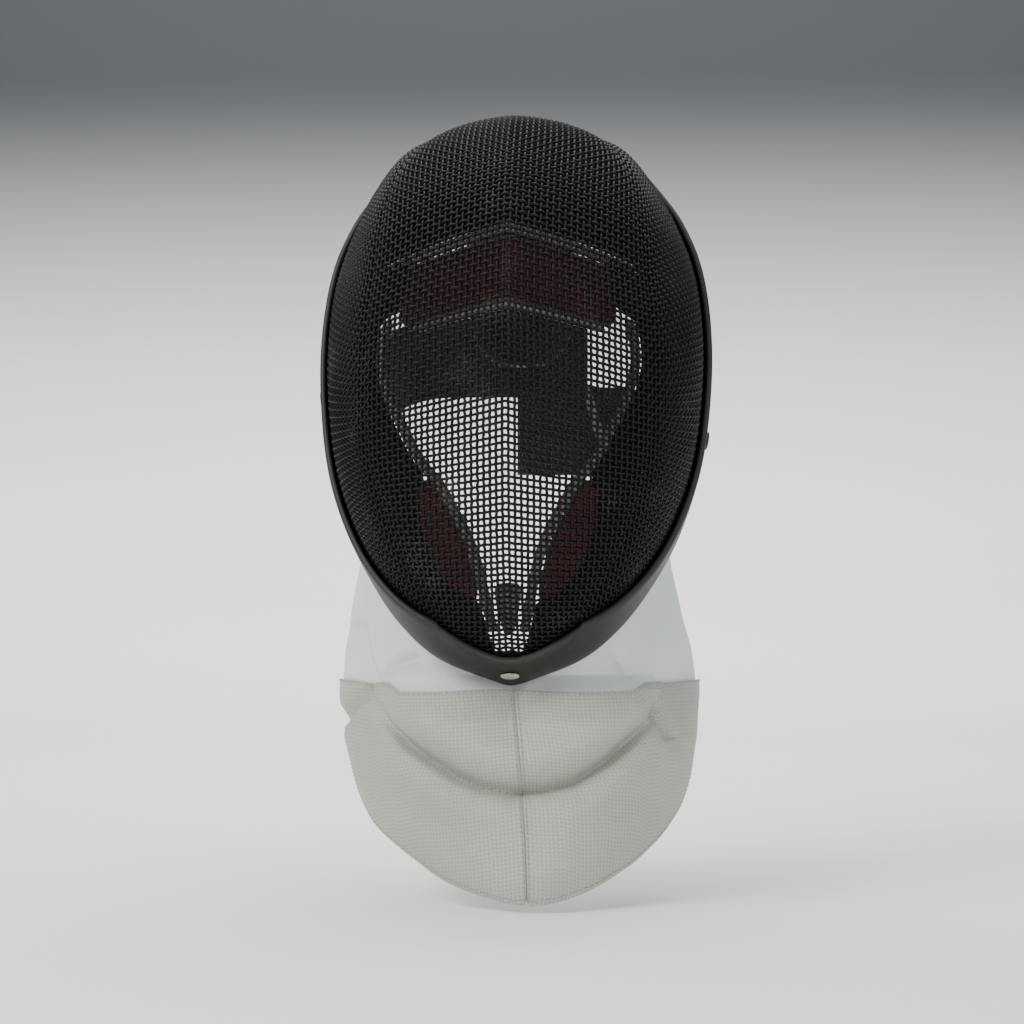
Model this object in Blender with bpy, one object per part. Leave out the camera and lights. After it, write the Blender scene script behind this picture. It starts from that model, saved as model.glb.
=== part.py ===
"""Fencing mask: a bent wire mesh with rubber edging, padding, back strap and a cloth bib, in metres.

X points to the viewer's right, -Y out of the face and +Z up. The origin is where the crown of the head rests.
"""

import math

import bmesh
import bpy
import numpy as np

for old in list(bpy.data.objects):
    bpy.data.objects.remove(old, do_unlink=True)

# Overall sizes
MASK_WIDTH = 0.1955
MASK_HEIGHT = 0.2915
MASK_DEPTH = 0.1850
CROWN_ABOVE_SEAT = 0.0040
RIDGE_AHEAD_OF_SEAT = 0.1240
CLEARANCE = 0.0003

# Wire mesh
MESH_WALL = 0.0020
CORNER_RADIUS = 0.0090
END_CORNER_RADIUS = 0.0260
PANEL_BOW = 0.0030
PANEL_BOW_SPAN = 0.0800
SIDE_BOW = 0.0080
SIDE_BOW_SPAN = 0.1100
BOW_CENTRE_BACK = 0.65
CORNER_SOFT_CHIN = 0.33
CORNER_SOFT_CROWN = (0.72, 0.92)
MESH_ROWS = 33
MESH_HALF_COLUMNS = 12
RIM_COUNT = 400
WALK_STEP = 0.0020

# Edge trim
TRIM_WALL = 0.0028
TRIM_OUTER_LEG = 0.0230
TRIM_INNER_LEG = 0.0120
TRIM_LIP = 0.0034
TRIM_LIP_ROUND = 0.60
TRIM_END_ROUND = 0.75
TRIM_STATIONS = 64
TRIM_GAP = 0.0019
RIM_BLEND = 0.036
RIVET_WIDTH = 0.0100
RIVET_HEIGHT = 0.0062
RIVET_THICKNESS = 0.0016
RIVET_FROM_EDGE = 0.0145

# Bib
BIB_WALL = 0.0030
BIB_COVER_WALL = 0.0012
BIB_DROP = 0.1105
BIB_HALF_WIDTH = 0.0885
BIB_HEM_HEIGHT = 0.0760
BIB_HEM_FRONT = 0.0860
BIB_HEM_SIDE = 0.0040
BIB_HEM_TAPER = 1.15
BIB_HANG = 0.90
BIB_GAP = 0.0009
BIB_BULGE = 0.0360
BIB_BULGE_FROM = 0.0200
BIB_SWAY = 0.0090
BIB_SWAY_AT_SIDE = 0.15
BIB_TUCK = 0.0500
BIB_COLUMNS = 24
BIB_ROWS = 7
BIB_SIDE_REACH = 0.150
BIB_COVER_DOWN = 0.0115
BIB_COVER_STEP = 0.0050
BIB_COVER_STEP_AT = (0.50, 0.58)

# Padding, placed by shares of the ridge length from the chin and of the half width of the mesh
PAD_WALL = 0.0110
PAD_GAP = 0.0006
PAD_EDGE_SHARE = 0.62
CHEEK_PAD_ENDS = (0.135, 0.290)
CHIN_PAD_ENDS = (0.080, 0.150)
FOREHEAD_PAD_ENDS = (0.486, 0.564)
FOREHEAD_PAD_SIDE = 0.290
FOREHEAD_EDGING_SIDES = (0.260, 0.370)
EDGING_RADIUS = 0.0026
EDGING_ASIDE = 0.0045
EDGING_LIFT = 0.0010
EDGING_ENDS = (0.085, 0.500)
LINING_WALL = 0.0016
LINING_GAP = 0.0012
LINING_FROM_TRIM = 0.0085
LINING_BESIDE_PAD = 0.0012
CROWN_LINING_TOP = 0.900
CROWN_LINING_DIPS = (0.375, 0.400)

# Back strap and tongue
STRAP_WALL = 0.0020
STRAP_LEFT_HEIGHT = 0.0450
STRAP_LEFT_DOWN = 0.1180
STRAP_LEFT_FALL = 0.0300
STRAP_LEFT_END = 0.0370
STRAP_RIGHT_HEIGHT = 0.0500
STRAP_RIGHT_DOWN = 0.1595
STRAP_RIGHT_FALL = 0.0120
STRAP_RIGHT_END = -0.0030
STRAP_SEAT_SHARE = 0.80
STRAP_LEAVES = 0.1100
STRAP_ARRIVES = 0.1300
STRAP_PAST_TONGUE = 0.0060
TONGUE_WALL = 0.0110
TONGUE_WIDTH = 0.0620
TONGUE_BEHIND_SEAT = 0.0880
TONGUE_LENGTH_DOWN = 0.1240
TONGUE_START = 0.42
TONGUE_EDGE_SHARE = 0.55
TONGUE_DROPS = (0.16, 0.40, 0.70, 1.00)
TONGUE_BACKS = (0.90, 0.985, 1.00, 0.985)
TONGUE_ROUND = 0.18
TONGUE_ROUND_SHARE = 0.75
SPRING_WALL = 0.0012
SPRING_WIDTH = 0.0300
SPRING_SAG = 0.0048
SPRING_DIP = 0.0080
SPRING_SEAT = (0.860, 0.895, 0.925)
ANCHOR_WIDTH = 0.0100
ANCHOR_THICKNESS = 0.0012

# The three rails that the mesh is bent over: the centre ridge, the crease beside the face and the rim.
# Rows run from the chin up to the back of the crown. "out" is a share of the half width, "back" a share of
# the depth behind the foremost point and "down" a share of the height below the crown.
RAIL_COLUMNS = (
    "ridge_back", "ridge_down", "crease_out", "crease_back", "crease_down", "rim_out", "rim_back", "rim_down",
)
RAIL_ROWS = (
    (0.360, 1.000, 0.030, 0.361, 0.9985, 0.045, 0.362, 0.997),
    (0.245, 0.960, 0.225, 0.270, 0.958, 0.325, 0.335, 0.959),
    (0.145, 0.893, 0.420, 0.210, 0.893, 0.520, 0.385, 0.908),
    (0.065, 0.797, 0.580, 0.178, 0.803, 0.695, 0.480, 0.832),
    (0.016, 0.680, 0.690, 0.160, 0.702, 0.840, 0.570, 0.740),
    (0.000, 0.561, 0.745, 0.150, 0.607, 0.945, 0.665, 0.620),
    (0.016, 0.442, 0.760, 0.162, 0.503, 0.993, 0.765, 0.455),
    (0.060, 0.323, 0.750, 0.205, 0.391, 0.975, 0.850, 0.320),
    (0.108, 0.238, 0.725, 0.258, 0.316, 0.930, 0.895, 0.250),
    (0.172, 0.168, 0.705, 0.322, 0.236, 0.855, 0.930, 0.200),
    (0.302, 0.092, 0.660, 0.425, 0.148, 0.765, 0.955, 0.165),
    (0.455, 0.037, 0.580, 0.560, 0.070, 0.650, 0.972, 0.130),
    (0.643, 0.004, 0.470, 0.720, 0.024, 0.520, 0.985, 0.102),
    (0.985, 0.036, 0.220, 0.987, 0.046, 0.352, 0.990, 0.069),
)

# The padding beside the face, from the chin up. "up" is a share of the ridge length. "edge" is its bound edge and
# "pad_back" the back edge of the cheek pad, both shares of the half width of the mesh. They meet where no pad lies.
SIDE_COLUMNS = ("up", "edge", "pad_back")
SIDE_ROWS = (
    (0.080, 0.240, 0.240),
    (0.110, 0.220, 0.220),
    (0.128, 0.208, 0.212),
    (0.135, 0.205, 0.300),
    (0.160, 0.195, 0.365),
    (0.185, 0.190, 0.385),
    (0.220, 0.205, 0.372),
    (0.255, 0.242, 0.358),
    (0.290, 0.270, 0.335),
    (0.298, 0.290, 0.292),
    (0.315, 0.315, 0.315),
    (0.350, 0.335, 0.335),
    (0.400, 0.370, 0.370),
    (0.450, 0.390, 0.390),
    (0.495, 0.368, 0.368),
    (0.520, 0.292, 0.292),
    (0.564, 0.292, 0.292),
)
SIDE = dict(zip(SIDE_COLUMNS, np.array(SIDE_ROWS).T))


def smooth(stations, values, at):
    """Values at the given places of a smooth curve through the stations."""
    slopes = np.gradient(values, stations)
    k = np.clip(np.searchsorted(stations, at, side="right") - 1, 0, len(stations) - 2)
    span = stations[k + 1] - stations[k]
    q = (at - stations[k]) / span
    start = (2 * q**3 - 3 * q**2 + 1) * values[k] + (q**3 - 2 * q**2 + q) * span * slopes[k]
    end = (3 * q**2 - 2 * q**3) * values[k + 1] + (q**3 - q**2) * span * slopes[k + 1]
    return start + end


def rail_table():
    table = dict(zip(RAIL_COLUMNS, np.array(RAIL_ROWS).T))
    run = np.hypot(np.diff(table["ridge_back"]) * MASK_DEPTH, np.diff(table["ridge_down"]) * MASK_HEIGHT)
    stations = np.concatenate([[0], np.cumsum(run)])
    return table, stations / stations[-1]


RAILS, STATIONS = rail_table()
BOW_CENTRE = np.array([0, MASK_DEPTH * BOW_CENTRE_BACK - RIDGE_AHEAD_OF_SEAT, CROWN_ABOVE_SEAT - MASK_HEIGHT / 2])


def rail(name, t):
    out = smooth(STATIONS, RAILS[name + "_out"], t) if name + "_out" in RAILS else np.zeros_like(t)
    back = smooth(STATIONS, RAILS[name + "_back"], t)
    down = smooth(STATIONS, RAILS[name + "_down"], t)
    return np.stack(
        [out * MASK_WIDTH / 2, back * MASK_DEPTH - RIDGE_AHEAD_OF_SEAT, CROWN_ABOVE_SEAT - down * MASK_HEIGHT], -1
    )


def unit(vectors):
    return vectors / np.maximum(np.linalg.norm(vectors, axis=-1, keepdims=True), 1e-9)


def mesh_surface(t, s):
    """Points of the mesh: t runs from chin to crown, s from -1 at the left rim over the ridge to 1 at the right."""
    t, s = np.broadcast_arrays(np.clip(np.asarray(t, float), 0, 1), np.clip(np.asarray(s, float), -1, 1))
    ridge, crease, rim = (rail(name, t) for name in ("ridge", "crease", "rim"))
    front = np.linalg.norm(crease - ridge, axis=-1, keepdims=True)
    side = np.linalg.norm(rim - crease, axis=-1, keepdims=True)
    run = np.abs(s)[..., None] * (front + side) - front
    fade = (np.interp(-t, [-CORNER_SOFT_CHIN, 0], [0, 1]) + np.interp(t, CORNER_SOFT_CROWN, [0, 1]))[..., None]
    radius = CORNER_RADIUS + (END_CORNER_RADIUS - CORNER_RADIUS) * fade
    reach = np.where(run < 0, front, side)
    radius = np.minimum(radius, 0.5 * np.minimum(front, side))
    rounding = (np.sqrt(run**2 + radius**2) - np.abs(run)) / 2 * (1 - np.clip(run / reach, -1, 1) ** 2)
    along_front = unit(crease - ridge)
    along_side = unit(rim - crease)
    points = crease + along_front * np.minimum(run, 0) + along_side * np.maximum(run, 0)
    points = points + (along_side - along_front) * rounding
    bow = np.where(run < 0, PANEL_BOW * front / PANEL_BOW_SPAN, SIDE_BOW * side / SIDE_BOW_SPAN)
    q = np.abs(run) / reach
    points = points + unit(points - BOW_CENTRE) * bow * 4 * q * (1 - q)
    return points * np.stack([np.where(s < 0, -1.0, 1.0), np.ones_like(s), np.ones_like(s)], -1)


def mesh_normal(t, s):
    """Outward unit normal of the mesh, blended over the ridge."""
    step = 0.004
    along_t = mesh_surface(t + step, s) - mesh_surface(t - step, s)
    along_s = mesh_surface(t, s + step) - mesh_surface(t, s - step)
    return unit(np.cross(along_s, along_t))


def inward(t, s, direction, distance):
    """Walks over the mesh from (t, s), keeping to the given direction, and returns where it arrives."""
    steps = max(1, math.ceil(distance / WALK_STEP))
    for _ in range(steps):
        step = 0.002
        across_t = (mesh_surface(t + step, s) - mesh_surface(t - step, s)) / (
            np.clip(t + step, 0, 1) - np.clip(t - step, 0, 1)
        )[..., None]
        across_s = (mesh_surface(t, s + step) - mesh_surface(t, s - step)) / (
            np.clip(s + step, -1, 1) - np.clip(s - step, -1, 1)
        )[..., None]
        tt = (across_t * across_t).sum(-1)
        ss = (across_s * across_s).sum(-1)
        ts = (across_t * across_s).sum(-1)
        dt = (across_t * direction).sum(-1)
        ds = (across_s * direction).sum(-1)
        det = tt * ss - ts * ts
        t = np.clip(t + (dt * ss - ds * ts) / det * distance / steps, 0, 1)
        s = np.clip(s + (ds * tt - dt * ts) / det * distance / steps, -1, 1)
    return t, s


def rim_loop(count):
    """Evenly spaced places (t, s) all round the rim, from the middle of the chin to the right and back."""
    fine = np.linspace(0, 1, 400)
    one = np.ones_like(fine)
    t = np.concatenate([0 * one, fine, one, fine[::-1], 0 * one])
    s = np.concatenate([fine, one, 1 - 2 * fine, -one, fine - 1])
    points = mesh_surface(t, s)
    run = np.concatenate([[0], np.cumsum(np.linalg.norm(np.diff(points, axis=0), axis=1))])
    at = np.linspace(0, run[-1], count, endpoint=False)
    return np.interp(at, run, t), np.interp(at, run, s)


def rim_frames(count):
    """The rim loop with its points, the directions inward over the mesh and the outward normals."""
    t, s = rim_loop(count)
    points = mesh_surface(t, s)
    reach = round(count * RIM_BLEND)
    near = [k for k in range(-reach, reach + 1) if k]
    tangent = unit(sum(np.sign(-k) * np.roll(points, k, 0) for k in near))
    normal = mesh_normal(np.clip(t, 0.02, 0.98), np.clip(s, -0.97, 0.97))
    normal = unit(normal + sum(np.roll(normal, k, 0) for k in near))
    normal = unit(normal - (normal * tangent).sum(-1, keepdims=True) * tangent)
    return t, s, points, np.cross(normal, tangent), normal


def material(name, colour, roughness, metallic=0.0):
    made = bpy.data.materials.new(name)
    made.use_nodes = True
    shader = made.node_tree.nodes["Principled BSDF"]
    shader.inputs["Base Color"].default_value = (*colour, 1)
    shader.inputs["Roughness"].default_value = roughness
    shader.inputs["Metallic"].default_value = metallic
    made.diffuse_color = (*colour, 1)
    return made


def solid(name, points, faces, look):
    """One closed body from points and faces, its faces turned outward."""
    mesh = bpy.data.meshes.new(name)
    mesh.from_pydata([tuple(p) for p in np.asarray(points)], [], [tuple(f) for f in faces])
    body = bmesh.new()
    body.from_mesh(mesh)
    bmesh.ops.remove_doubles(body, verts=body.verts, dist=1e-7)
    bmesh.ops.recalc_face_normals(body, faces=body.faces)
    if body.calc_volume(signed=True) < 0:
        bmesh.ops.reverse_faces(body, faces=body.faces)
    body.to_mesh(mesh)
    body.free()
    mesh.materials.append(look)
    mesh.shade_smooth()
    made = bpy.data.objects.new(name, mesh)
    bpy.context.scene.collection.objects.link(made)
    return made


def slab(name, outer, inner, look):
    """A curved sheet between two grids of points of the same size."""
    rows, columns = outer.shape[:2]
    index = np.arange(rows * columns).reshape(rows, columns)
    back = index + rows * columns
    faces = []
    for r in range(rows - 1):
        for c in range(columns - 1):
            faces.append((index[r, c], index[r, c + 1], index[r + 1, c + 1], index[r + 1, c]))
            faces.append((back[r, c], back[r + 1, c], back[r + 1, c + 1], back[r, c + 1]))
    border = [(0, c) for c in range(columns)] + [(r, columns - 1) for r in range(1, rows)]
    border += [(rows - 1, c) for c in range(columns - 2, -1, -1)] + [(r, 0) for r in range(rows - 2, 0, -1)]
    for here, there in zip(border, border[1:] + border[:1]):
        faces.append((index[there], index[here], back[here], back[there]))
    return solid(name, np.concatenate([outer.reshape(-1, 3), inner.reshape(-1, 3)]), faces, look)


def tube(name, rings, look, loop=False):
    """A body through rings of points, closed on itself or with a flat end at each side."""
    rings = np.asarray(rings)
    count, sides = rings.shape[:2]
    index = np.arange(count * sides).reshape(count, sides)
    faces = []
    for r in range(count if loop else count - 1):
        for k in range(sides):
            after = (r + 1) % count
            faces.append((index[r, k], index[r, (k + 1) % sides], index[after, (k + 1) % sides], index[after, k]))
    if not loop:
        faces += [tuple(index[0][::-1]), tuple(index[-1])]
    return solid(name, rings.reshape(-1, 3), faces, look)


def cord(name, path, radius, look, sides=6):
    """A round cord along a path."""
    path = np.asarray(path)
    tangent = unit(np.gradient(path, axis=0))
    side = unit(np.cross(tangent, np.roll(tangent, 1, axis=1) + np.array([0.3, 0.5, 0.8])))
    rings = []
    for k in range(len(path)):
        if k:
            side[k] = unit(side[k - 1] - (side[k - 1] * tangent[k]).sum() * tangent[k])
        other = np.cross(tangent[k], side[k])
        angles = np.arange(sides) * 2 * math.pi / sides
        rings.append(path[k] + radius * (np.cos(angles)[:, None] * side[k] + np.sin(angles)[:, None] * other))
    return tube(name, rings, look)


def button(name, centre, out, across, size, look, sides=12):
    """A low domed button: size holds its width, its height and its thickness."""
    out = unit(np.asarray(out))
    across = unit(across - (across * out).sum() * out)
    up = np.cross(out, across)
    width, height, thickness = size
    angles = np.arange(sides) * 2 * math.pi / sides
    rings = []
    for share, lift in ((1.0, 0.0), (1.0, 0.45), (0.82, 0.85), (0.45, 1.0)):
        flat = np.cos(angles)[:, None] * across * width / 2 + np.sin(angles)[:, None] * up * height / 2
        rings.append(centre + share * flat + lift * thickness * out)
    return tube(name, rings, look)


BLACK_WIRE = material("wire_mesh", (0.026, 0.027, 0.025), 0.45, 0.6)
BLACK_RUBBER = material("black_rubber", (0.050, 0.052, 0.047), 0.42)
PALE_RIVET = material("pale_rivet", (0.34, 0.33, 0.26), 0.35, 0.5)
WHITE_CLOTH = material("white_cloth", (0.66, 0.69, 0.71), 0.85)
GREY_CLOTH = material("conductive_cloth", (0.42, 0.42, 0.39), 0.55, 0.35)
RED_CLOTH = material("red_cloth", (0.105, 0.010, 0.022), 0.85)
EDGING_CLOTH = material("edging_cloth", (0.40, 0.40, 0.37), 0.8)
CHIN_CLOTH = material("chin_cloth", (0.34, 0.34, 0.31), 0.85)
BLACK_CLOTH = material("black_cloth", (0.012, 0.012, 0.013), 0.85)
BLACK_ELASTIC = material("black_elastic", (0.015, 0.015, 0.016), 0.75)
BLACK_BUTTON = material("black_button", (0.03, 0.03, 0.03), 0.35)
STEEL = material("spring_steel", (0.42, 0.42, 0.42), 0.35, 1.0)


def build_mesh():
    t = np.linspace(0, 1, MESH_ROWS)[:, None]
    half = np.linspace(0, 1, MESH_HALF_COLUMNS + 1)
    s = np.concatenate([-half[::-1], half[1:]])[None, :]
    points = mesh_surface(t, s)
    normal = mesh_normal(t, s)
    slab("wire_mesh", points + normal * MESH_WALL / 2, points - normal * MESH_WALL / 2, BLACK_WIRE)


def build_trim():
    """The rubber channel: an outer leg, a lip round the cut edge of the mesh and a shorter inner leg."""
    t, s, edge, into, normal = rim_frames(TRIM_STATIONS)
    near = MESH_WALL / 2 + TRIM_GAP
    far = near + TRIM_WALL

    def station(distance, height):
        if distance <= 0:
            return edge + into * distance + normal * height
        at_t, at_s = inward(t, s, into, distance)
        for _ in range(4):
            at_t, at_s = ((np.roll(k, 1) + 2 * k + np.roll(k, -1)) / 4 for k in (at_t, at_s))
        return mesh_surface(at_t, at_s) + mesh_normal(at_t, at_s) * height

    outer = [0.0, 0.33, 0.66, 0.93, 1.0]
    section = [station(-TRIM_LIP, far * TRIM_LIP_ROUND)]
    section += [station(TRIM_OUTER_LEG * q, far) for q in outer[:4]]
    section += [station(TRIM_OUTER_LEG, far * TRIM_END_ROUND), station(TRIM_OUTER_LEG, near)]
    section += [station(TRIM_OUTER_LEG * q, near) for q in (0.66, 0.33)]
    section += [station(-TRIM_GAP, near), station(-TRIM_GAP, -near)]
    section += [station(TRIM_INNER_LEG * q, -near) for q in (0.5, 1.0)]
    section += [station(TRIM_INNER_LEG * q, -far) for q in (1.0, 0.5, 0.0)]
    section += [station(-TRIM_LIP, -far * TRIM_LIP_ROUND)]
    tube("edge_trim", np.stack(section, 1), BLACK_RUBBER, loop=True)


def build_rivet():
    t, s = inward(np.array([0.0]), np.array([0.0]), np.array([[0.0, -1.0, 0.0]]), RIVET_FROM_EDGE)
    normal = mesh_normal(t, s)[0]
    seat = mesh_surface(t, s)[0] + normal * (MESH_WALL / 2 + TRIM_GAP + TRIM_WALL + CLEARANCE)
    size = (RIVET_WIDTH, RIVET_HEIGHT, RIVET_THICKNESS)
    button("chin_rivet", seat, normal, np.array([1.0, 0, 0]), size, PALE_RIVET)


def bib_surface(a, b):
    """Points of the bib: a runs from its left end to its right, b from the trim down to the hem."""
    t, s, edge, into, normal = rim_frames(RIM_COUNT)
    order = np.arange(-RIM_COUNT // 4, RIM_COUNT // 4 + 1)
    run = order / RIM_COUNT
    lip = (edge - into * (TRIM_LIP + BIB_GAP))[order]
    top = np.stack([np.interp(a * BIB_SIDE_REACH, run, lip[:, k]) for k in range(3)], -1)
    turn = np.abs(a) * math.pi / 2
    base = CROWN_ABOVE_SEAT - MASK_HEIGHT - BIB_DROP + BIB_HEM_HEIGHT
    sway = BIB_SWAY * (BIB_SWAY_AT_SIDE + (1 - BIB_SWAY_AT_SIDE) * np.cos(turn))
    hem = np.stack(
        [
            sway + np.sign(a) * BIB_HALF_WIDTH * np.sin(turn) ** BIB_HEM_TAPER,
            BIB_HEM_SIDE - (BIB_HEM_FRONT + BIB_HEM_SIDE) * np.cos(turn),
            base - BIB_HEM_HEIGHT * np.cos(turn),
        ],
        -1,
    )
    start = np.stack([np.interp(a * BIB_SIDE_REACH, run, -into[order][:, k]) for k in range(3)], -1) * BIB_TUCK
    outward = unit((hem - np.array([0, BIB_BULGE_FROM, 0])) * np.array([1, 1, 0]))
    end = np.array([0, 0, -BIB_DROP]) * BIB_HANG - outward * BIB_BULGE
    b = b[..., None]
    return (
        (2 * b**3 - 3 * b**2 + 1) * top
        + (b**3 - 2 * b**2 + b) * start
        + (3 * b**2 - 2 * b**3) * hem
        + (b**3 - b**2) * end
    )


def bib_normal(a, b):
    step = 0.01
    along_a = bib_surface(np.clip(a + step, -1, 1), b) - bib_surface(np.clip(a - step, -1, 1), b)
    along_b = bib_surface(a, np.clip(b + step, 0, 1)) - bib_surface(a, np.clip(b - step, 0, 1))
    return unit(np.cross(along_b, along_a))


def build_bib():
    columns = np.linspace(-1, 1, BIB_COLUMNS + 1)
    a, b = np.meshgrid(columns, np.linspace(0, 1, BIB_ROWS + 1))
    points = bib_surface(a, b)
    normal = bib_normal(a, b)
    slab("bib", points + normal * BIB_WALL / 2, points - normal * BIB_WALL / 2, WHITE_CLOTH)
    # The cover starts a little below the chin and a step higher at each side.
    start = np.array([bib_share(at) for at in columns])
    a, b = np.meshgrid(columns, np.linspace(0, 1, BIB_ROWS + 1))
    b = start + (1 - start) * b
    points = bib_surface(a, b)
    normal = bib_normal(a, b)
    near = BIB_WALL / 2 + BIB_GAP
    slab("bib_cover", points + normal * (near + BIB_COVER_WALL), points + normal * near, GREY_CLOTH)


def bib_share(at):
    """How far down the bib its cover starts at this place across it."""
    down = np.linspace(0, 1, 60)
    height = bib_surface(np.full(60, at), down)[:, 2]
    step = BIB_COVER_STEP * np.interp(abs(at), BIB_COVER_STEP_AT, [0, 1])
    return float(np.interp(MASK_HEIGHT - CROWN_ABOVE_SEAT + BIB_COVER_DOWN - step, -height, down))


def pad_body(name, t, s, look):
    """A cushion on the inside of the mesh over a grid of places, thinner towards its edges."""
    rows, columns = t.shape
    across = 1 - np.abs(np.linspace(-1, 1, columns))[None, :] ** 4
    along = 1 - np.abs(np.linspace(-1, 1, rows))[:, None] ** 6
    depth = PAD_WALL * (PAD_EDGE_SHARE + (1 - PAD_EDGE_SHARE) * across * along)[..., None]
    points = mesh_surface(t, s)
    normal = mesh_normal(t, s)
    near = MESH_WALL / 2 + PAD_GAP
    slab(name, points - normal * near, points - normal * (near + depth), look)


def half_length(t):
    """Length of the mesh from its ridge to its rim at this place."""
    line = mesh_surface(np.full(60, float(t)), np.linspace(0, 1, 60))
    return np.linalg.norm(np.diff(line, axis=0), axis=1).sum()


def side_share(name, t):
    """Where an edge of the side padding lies at this place up the ridge."""
    return np.interp(t, SIDE["up"], SIDE[name])


def clear_of_trim(t):
    """How far out from the ridge the mesh can be lined at each place before it meets the trim's inner leg."""
    s = np.linspace(0, 1, 201)
    rim = mesh_surface(*rim_loop(RIM_COUNT))
    found = []
    for k in t:
        away = np.linalg.norm(mesh_surface(k, s)[:, None] - rim, axis=-1).min(1)
        found.append(s[away >= TRIM_INNER_LEG + LINING_FROM_TRIM].max())
    return np.array(found)


def lining(name, t, s):
    """Cloth that lies against the inside of the mesh over a grid of places."""
    points = mesh_surface(t, s)
    normal = mesh_normal(t, s)
    near = MESH_WALL / 2 + LINING_GAP
    slab(name, points - normal * near, points - normal * (near + LINING_WALL), BLACK_CLOTH)


def build_linings():
    t = SIDE["up"]
    half = np.array([half_length(k) for k in t])
    front = (SIDE["pad_back"] + LINING_BESIDE_PAD / half)[:, None]
    back = clear_of_trim(t)[:, None]
    q = np.linspace(0, 1, 7)[None, :]
    for name, side in (("left", -1), ("right", 1)):
        lining("side_lining_" + name, np.broadcast_to(t[:, None], (len(t), 7)), side * (front * (1 - q) + back * q))
    # The crown lining starts above the upper edging and comes down beside its ends to the side linings.
    beside = 2 * (EDGING_RADIUS + PAD_GAP + CLEARANCE) / ridge_length()
    low = FOREHEAD_PAD_ENDS[1] + beside
    up = np.linspace(0, 1, 8)
    t = low + (CROWN_LINING_TOP - low) * up
    s = np.linspace(-1, 1, 15)[None, :] * clear_of_trim(t)[:, None]
    dip = (beside - LINING_BESIDE_PAD / ridge_length()) * np.interp(np.abs(s), CROWN_LINING_DIPS, [0, 1])
    lining("crown_lining", t[:, None] - dip * (1 - up[:, None]), s)


def ridge_length():
    return np.linalg.norm(np.diff(mesh_surface(np.linspace(0, 1, 200), np.zeros(200)), axis=0), axis=1).sum()


def build_pads():
    depth = MESH_WALL / 2 + PAD_GAP + EDGING_RADIUS + EDGING_LIFT
    for name, side in (("left", -1), ("right", 1)):
        t = np.linspace(*CHEEK_PAD_ENDS, 9)[:, None]
        q = np.linspace(0, 1, 6)[None, :]
        s = side * (side_share("edge", t) * (1 - q) + side_share("pad_back", t) * q)
        pad_body("cheek_pad_" + name, np.broadcast_to(t, s.shape), s, RED_CLOTH)
        t = np.linspace(*EDGING_ENDS, 22)
        s = side * (side_share("edge", t) - EDGING_ASIDE / np.array([half_length(k) for k in t]))
        path = mesh_surface(t, s) - mesh_normal(t, s) * depth
        cord("cheek_edging_" + name, path, EDGING_RADIUS, EDGING_CLOTH)
    t, q = np.meshgrid(np.linspace(*FOREHEAD_PAD_ENDS, 6), np.linspace(-1, 1, 15), indexing="ij")
    pad_body("forehead_pad", t, q * FOREHEAD_PAD_SIDE, RED_CLOTH)
    beside = (EDGING_RADIUS + PAD_GAP + CLEARANCE) / ridge_length()
    depth = MESH_WALL / 2 + PAD_GAP + EDGING_RADIUS
    low, high = FOREHEAD_PAD_ENDS
    for name, t, reach in zip(("lower", "upper"), (low - beside, high + beside), FOREHEAD_EDGING_SIDES):
        s = np.linspace(-reach, reach, 15)
        path = mesh_surface(t, s) - mesh_normal(t, s) * depth
        cord("forehead_edging_" + name, path, EDGING_RADIUS, EDGING_CLOTH)
    t, q = np.meshgrid(np.linspace(*CHIN_PAD_ENDS, 5), np.linspace(-1, 1, 5), indexing="ij")
    room = np.array([(2 * EDGING_ASIDE + PAD_GAP) / half_length(k) for k in t[:, 0]])[:, None]
    pad_body("chin_pad", t, q * (side_share("edge", t) - room), CHIN_CLOTH)


def tongue_path(q):
    """Middle line of the tongue's spring in side view, from inside the crown to its free end."""
    t = np.array(SPRING_SEAT)
    inside = mesh_surface(t, 0 * t) - mesh_normal(t, 0 * t) * (MESH_WALL / 2 + SPRING_SAG + SPRING_WALL / 2)
    edge = mesh_surface(np.array([0.995]), np.zeros(1))
    below = MESH_WALL / 2 + TRIM_GAP + TRIM_WALL + SPRING_WALL
    edge = edge - mesh_normal(np.array([0.98]), np.zeros(1)) * (below + SPRING_DIP)
    drop = np.array(TONGUE_DROPS)
    free = np.stack([0 * drop, np.array(TONGUE_BACKS) * TONGUE_BEHIND_SEAT, -drop * TONGUE_LENGTH_DOWN], -1)
    knots = np.concatenate([inside, edge, free])
    run = np.concatenate([[0], np.cumsum(np.linalg.norm(np.diff(knots, axis=0), axis=1))])
    return np.stack([smooth(run / run[-1], knots[:, k], q) for k in range(3)], -1)


def tongue_sheet(name, start, width, near, far, padded, look):
    """A strip on the tongue's line from near to far ahead of it, rounded at its free end, and at both if padded."""
    q = np.linspace(0, 1, 22)
    q = q[q >= start]
    line = tongue_path(q)
    ahead = unit(np.gradient(line, axis=0))
    front = np.cross(ahead, np.array([1.0, 0, 0]))
    across = np.linspace(-1, 1, 7 if padded else 3)
    to_end = np.minimum(1 - q, q - q[0]) if padded else 1 - q
    end = np.clip(to_end * TONGUE_ROUND / (width / 2), 0, 1)
    half = width / 2 * np.sqrt(1 - (1 - end) ** 2 * TONGUE_ROUND_SHARE)
    points = line[:, None, :] + across[None, :, None] * half[:, None, None] * np.array([1.0, 0, 0])
    thin = 1 - TONGUE_EDGE_SHARE if padded else 0
    puff = 1 - thin * np.abs(across)[None, :, None] ** 3
    slab(name, points + front[:, None, :] * near, points + front[:, None, :] * (near + (far - near) * puff), look)


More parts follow.
